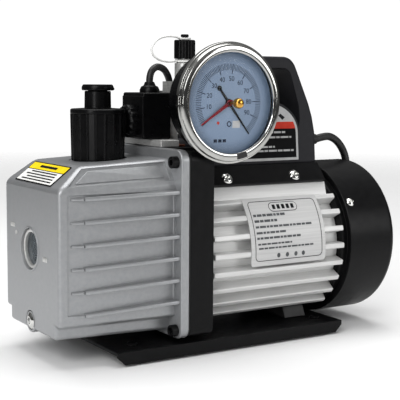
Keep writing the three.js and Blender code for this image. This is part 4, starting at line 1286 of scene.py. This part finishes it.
def disc(radius, angle, size, sides=20):
    """Outline of a small disc at a radius and an angle on the dial."""
    cos, sin = cos_sin(angle)
    return arc((radius * cos, radius * sin), size, 0, 360 - 360 / sides, sides - 1)


def numeral(text, radius, angle, size):
    """A number on the dial, as a thin solid."""
    curve = bpy.data.curves.new("numeral", "FONT")
    curve.body = text
    curve.size = size
    curve.extrude = 0.03
    curve.resolution_u = 3
    curve.align_x = "CENTER"
    curve.align_y = "CENTER"
    words = in_scene("numeral", curve)
    graph = bpy.context.evaluated_depsgraph_get()
    bm = bmesh.new()
    bm.from_mesh(words.evaluated_get(graph).to_mesh())
    bpy.data.objects.remove(words)
    bpy.data.curves.remove(curve)
    upright = Matrix.Rotation(math.pi / 2, 4, "X")
    cos, sin = cos_sin(angle)
    place = (GAUGE["x"] + radius * cos, GAUGE["dial"] - 0.08, GAUGE["z"] + radius * sin)
    bm.transform(Matrix.Translation(place) @ upright)
    return bm


def add_gauge_case():
    front, back = pump_box("gauge_case")[0].y, pump_box("gauge_case")[1].y
    can = turned(
        [(0, back), (0, back - 2), (33.9, back - 2), (33.9, front + 2), (36.8, front + 2),
         (36.8, front + 0.2), (38.3, front + 0.2), (38.3, front + 2.6), (35.6, front + 2.6),
         (35.6, back - 4), (34.8, back - 1.4), (32.6, back), (0, back)],
        "y", GAUGE_CENTRE, 128,
    )
    add_piece("gauge_can", can, "gauge_black", "gauge_case", edge=0.3)
    rim = GAUGE["front"]
    bezel = turned(
        [(38.8, 7.6), (38.8, 2.1), (35.3, 2.1), (35.3, 0.8), (36, 0.2), (37.4, 0), (39.4, 0.1), (40.6, 0.7),
         (41.2, 1.8), (41.3, 2.8), (42.5, 3.1), (42.8, 3.8), (42.8, 6.4), (42.4, 7.2), (41.6, 7.6),
         (38.8, 7.6)],
        "y", (GAUGE["x"], rim, GAUGE["z"]), 160,
    )
    add_piece("bezel_ring", bezel, "bezel_steel", "gauge_bezel", slot="chrome", edge=0.2)
    vent = prism(
        arc((GAUGE["x"], GAUGE["z"]), 39.9, -84, -71, 8) + arc((GAUGE["x"], GAUGE["z"]), 35.9, -71, -84, 8),
        "y", rim - 0.25, rim + 1.2,
    )
    add_piece("bezel_vent", vent, "rubber", edge=0.3)
    glass = tube_ring(1.6, 38.4, rim + 2.4, rim + 3.6, "y", GAUGE_CENTRE)
    add_piece("gauge_window", glass, "glass", "gauge_glass")


def scale_angle(value):
    return SCALE["zero"] - SCALE["per_unit"] * value


def add_dial():
    plate = tube_ring(1.2, 36.4, GAUGE["dial"], GAUGE["dial"] + 0.7, "y", GAUGE_CENTRE)
    add_piece("dial_plate", plate, "dial", "gauge_dial")
    ticks = []
    for value in range(0, 101):
        angle = scale_angle(value)
        start, half = (20.4, 0.28) if value % 10 == 0 else (23, 0.18)
        ticks.append(on_dial(radial_bar(angle, start, 27.4, half)))
    numbers = [numeral(str(value), 17, scale_angle(value), 4.8) for value in range(10, 100, 10)]
    ring = tube_ring(1.3, 2, GAUGE["dial"] - 0.11, GAUGE["dial"] - 0.05, "y",
                     (GAUGE["x"] + 0.5, 0, GAUGE["z"] - 14.8), 32)
    units = [on_dial(rectangle(x - 1.4, x + 1.4, -27.6, -25.4)) for x in (-11, -7.2, -3.4)]
    add_piece("dial_scale", merged(*ticks, *numbers, ring, *units), "dial_print", slot="dial")
    add_piece("dial_red_mark", on_dial(disc(16.5, -122, 1.1)), "print_red", slot="red_paint")
    box = on_dial(rectangle(3.4, 9.6, -17.6, -12.6))
    add_piece("dial_white_box", box, "print_light", slot="dial")


def pointer_blade(angle, tail, tip, widths, layer):
    """A tapered pointer from its tail to its tip, between two depths."""
    start, middle, end = widths
    section = [(-tail, -start), (0, -middle), (tip, -end), (tip, end), (0, middle), (-tail, start)]
    outline = [(GAUGE["x"] + a, GAUGE["z"] + b) for a, b in rotated(section, angle)]
    return prism(outline, "y", *layer)


def add_pointers():
    black = (GAUGE["dial"] - 0.6, GAUGE["dial"] - 0.2)
    red = (GAUGE["dial"] - 1.6, GAUGE["dial"] - 1)
    cos, sin = cos_sin(RESTING["pressure"])
    weight = (GAUGE["x"] - 13 * cos, 0, GAUGE["z"] - 13 * sin)
    pressure = [
        pointer_blade(RESTING["pressure"], 13, 28, (0.8, 1.1, 0.5), black),
        rod(1.9, *black, "y", weight, 32),
        rod(3, *black, "y", GAUGE_CENTRE, 40),
        rod(0.9, GAUGE["dial"] - 0.6, GAUGE["dial"] + 8, "y", GAUGE_CENTRE, 20),
    ]
    add_piece(
        "pressure_hand", merged(*pressure), "gauge_black", "gauge_pointer", slot="black_paint",
        body="pressure_pointer", edge=0.1
    )
    setting = [
        pointer_blade(RESTING["setting"], 3, 28, (0.8, 1.4, 0.45), red),
        rod(2.2, *red, "y", GAUGE_CENTRE, 40),
    ]
    add_piece("setting_hand", merged(*setting), "red_paint", "set_pointer", body="set_hand", edge=0.1)
    front = pump_box("set_knob")[0].y
    knob = turned(
        [(0, front), (1.8, front + 0.2), (3, front + 0.9), (3.7, front + 2.2), (3.7, front + 4.4),
         (3, front + 6.6), (1.2, front + 7.8), (1.2, GAUGE["dial"] - 1.9), (0, GAUGE["dial"] - 1.9)],
        "y", GAUGE_CENTRE, 80, knurled(0.03, 20),
    )
    add_piece("setting_knob", knob, "brass", "set_knob", body="set_hand", edge=0.15)


# ---------- mains lead ----------
LEAD = {"radius": 3.2, "length": 1.17, "coil": (190, 118), "floor": 3.3, "upper": 9.7}
LEAD_ROUTE = [
    (252.4, 0, 149), (259.5, 0, 150.4), (266.5, 0.2, 150.8), (273.8, 0.8, 148.2), (280.4, 1.8, 143.2),
    (286, 3.2, 136.6), (290.3, 5.2, 128.6), (293.3, 8.2, 117.6), (295.2, 12.4, 104), (296.2, 18, 88),
    (296.6, 25, 71), (296.4, 33, 54), (295.2, 42, 38), (292.2, 51.4, 24), (287, 59.9, 13.4), (279.4, 67, 6.8),
    (269.6, 72.2, 4), (258.4, 75, 3.3), (246.4, 75.6, 3.3), (234, 75.6, 3.3), (222, 75.6, 3.3),
    (214.6, 75.6, 3.3),
]
PLUG = {"rear": 129, "y": 79.3, "z": 17.3, "boot_end": 159.2, "boot_z": 9.8}


# The coil: how many turns it has, the radius it starts with and loses in a turn, the turns between which it
# climbs to the upper layer, its smallest radius, and the radii that the upper layer starts and ends with.
COIL = {"turns": 4, "widest": 42.4, "step": 6.5, "climb": (2.2, 2.5), "narrowest": 28.1, "upper": (29, 38.7)}


def coil_points(per_turn=16):
    """The lead's turns: a lower layer wound inwards, a climb, and an upper layer wound outwards."""
    points = []
    start, end = COIL["climb"]
    inner, outer = COIL["upper"]
    for i in range(COIL["turns"] * per_turn + 1):
        turns = i / per_turn
        if turns <= start:
            radius, height = COIL["widest"] - COIL["step"] * turns, LEAD["floor"]
        elif turns <= end:
            share = (turns - start) / (end - start)
            ease = share * share * (3 - 2 * share)
            radius = between(COIL["narrowest"], inner, share)
            height = between(LEAD["floor"], LEAD["upper"], ease)
        else:
            share = (turns - end) / (COIL["turns"] - end)
            radius, height = between(inner, outer, share), LEAD["upper"]
        cos, sin = cos_sin(-90 - 360 * turns)
        points.append((LEAD["coil"][0] + radius * cos, LEAD["coil"][1] + radius * sin, height))
    return points


def add_mains_lead():
    gland = turned(
        [(3.5, 228.3), (7.6, 228.3), (8, 228.8), (8, 230.6), (7.4, 231.2), (5.8, 231.8), (5.4, 236),
         (4.9, 236.6), (5.2, 237.4), (5.1, 241), (4.7, 241.6), (5, 242.4), (4.8, 246), (4.4, 246.6),
         (4.6, 247.4), (4.2, 252), (3.5, 252.2), (3.5, 228.3)],
        "x", (0, 0, 149), 48,
    )
    add_piece("strain_relief", gland, "rubber", "lead_gland", edge=0.1)
    last = [(x, PLUG["y"], LEAD["upper"]) for x in (176, 162.5)]
    path = smooth_path([*LEAD_ROUTE, *coil_points(), *last], 6)
    curve = bpy.data.curves.new("mains_cord", "CURVE")
    curve.dimensions = "3D"
    curve.bevel_depth = LEAD["radius"] * MM
    curve.bevel_resolution = 5
    curve.use_fill_caps = True
    spline = curve.splines.new("POLY")
    spline.points.add(len(path) - 1)
    for point, place in zip(spline.points, path):
        point.co = (*(TO_ROW @ place), 1)
    curve.materials.append(LOOKS["rubber"])
    cord = in_scene("mains_cord", curve)
    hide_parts("power_cord", "power_cord_coil")
    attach(cord, BODY)
    for node in ("power_cord", "power_cord_coil"):
        dress(node, "rubber")
    plug = add_plug()
    tie = add_tie()


def add_plug():
    """Round two-pin plug lying beside the coil, with a boot that runs down to the lead's last turn."""
    rear, y, z = PLUG["rear"], PLUG["y"], PLUG["z"]
    centre = (rear, y, z)
    body = turned(
        [(0, -26), (13, -26), (14.6, -25.2), (17, -22), (17, -6), (15.6, -3), (12, -0.8), (7, 0), (0, 0)],
        "x", centre, 64,
    )
    circle = [cos_sin(15 * i) for i in range(24)]
    boot = hull(
        [(rear - 2, y + 7 * a, z + 7 * b) for a, b in circle]
        + [(PLUG["boot_end"], y + 4.3 * a, PLUG["boot_z"] + 4.3 * b) for a, b in circle],
    )
    add_piece("plug_boot", boot, "rubber", edge=0.5)
    plug = add_piece("plug_body", body, "black_plastic", "power_plug", edge=0.4)
    pins = mirrored(
        lambda side: turned([(0, -45), (1.6, -45), (2.4, -43.6), (2.4, -25), (0, -25)], "x",
                            (rear, y, z + side * 9.5), 32)
    )
    add_piece("plug_pins", merged(*pins), "steel")
    return plug


def add_tie():
    """A flat strap round the bundle of turns, at its far side."""
    x, y = LEAD["coil"]
    low, high = y + 23.4, y + 44.6
    outer = rounded_rectangle(low, high, 0.1, 13.2, 2.4)
    inner = rounded_rectangle(low + 0.7, high - 0.7, 0.4, 12.6, 1.8)
    shape = carve(prism(outer, "x", x - 4, x + 4), prism(inner, "x", x - 6, x + 6))
    return add_piece("cord_tie", shape, "black_plastic")


# ---------- CAD nodes that stay as they are ----------
INSIDE_LOOKS = {
    "steel": ["pump_rotor", "first_stage_stator", "second_stage_stator", "mid_plate", "pump_end_cover",
              "front_bearing", "rear_bearing", "drive_shaft", "motor_rotor", "valve_plunger"],
    "carbon": ["first_stage_vanes", "second_stage_vanes"],
    "laminations": ["motor_stator"],
    "rubber": ["shaft_seal"],
    "black_plastic": ["cooling_fan", "start_capacitor"],
}


def dress_inside_nodes():
    for look, nodes in INSIDE_LOOKS.items():
        for node in nodes:
            dress(node, look)


# ---------- the scene ----------
bpy.context.scene.view_settings.view_transform = "Standard"
LOOKS = make_looks()
add_camera()
add_mains_lead()
add_world()
add_floor(LOOKS["floor"])
for softbox, values in SOFTBOXES.items():
    add_softbox(softbox, *values)
dress_inside_nodes()
add_oil_case()
add_notice_plate()
add_exhaust()
add_bracket()
add_motor()
add_fan_cover()
add_nameplate()
add_base()
add_handle()
add_handle_label()
add_switch()
add_valve()
add_tee()
add_gauge_case()
add_dial()
add_pointers()
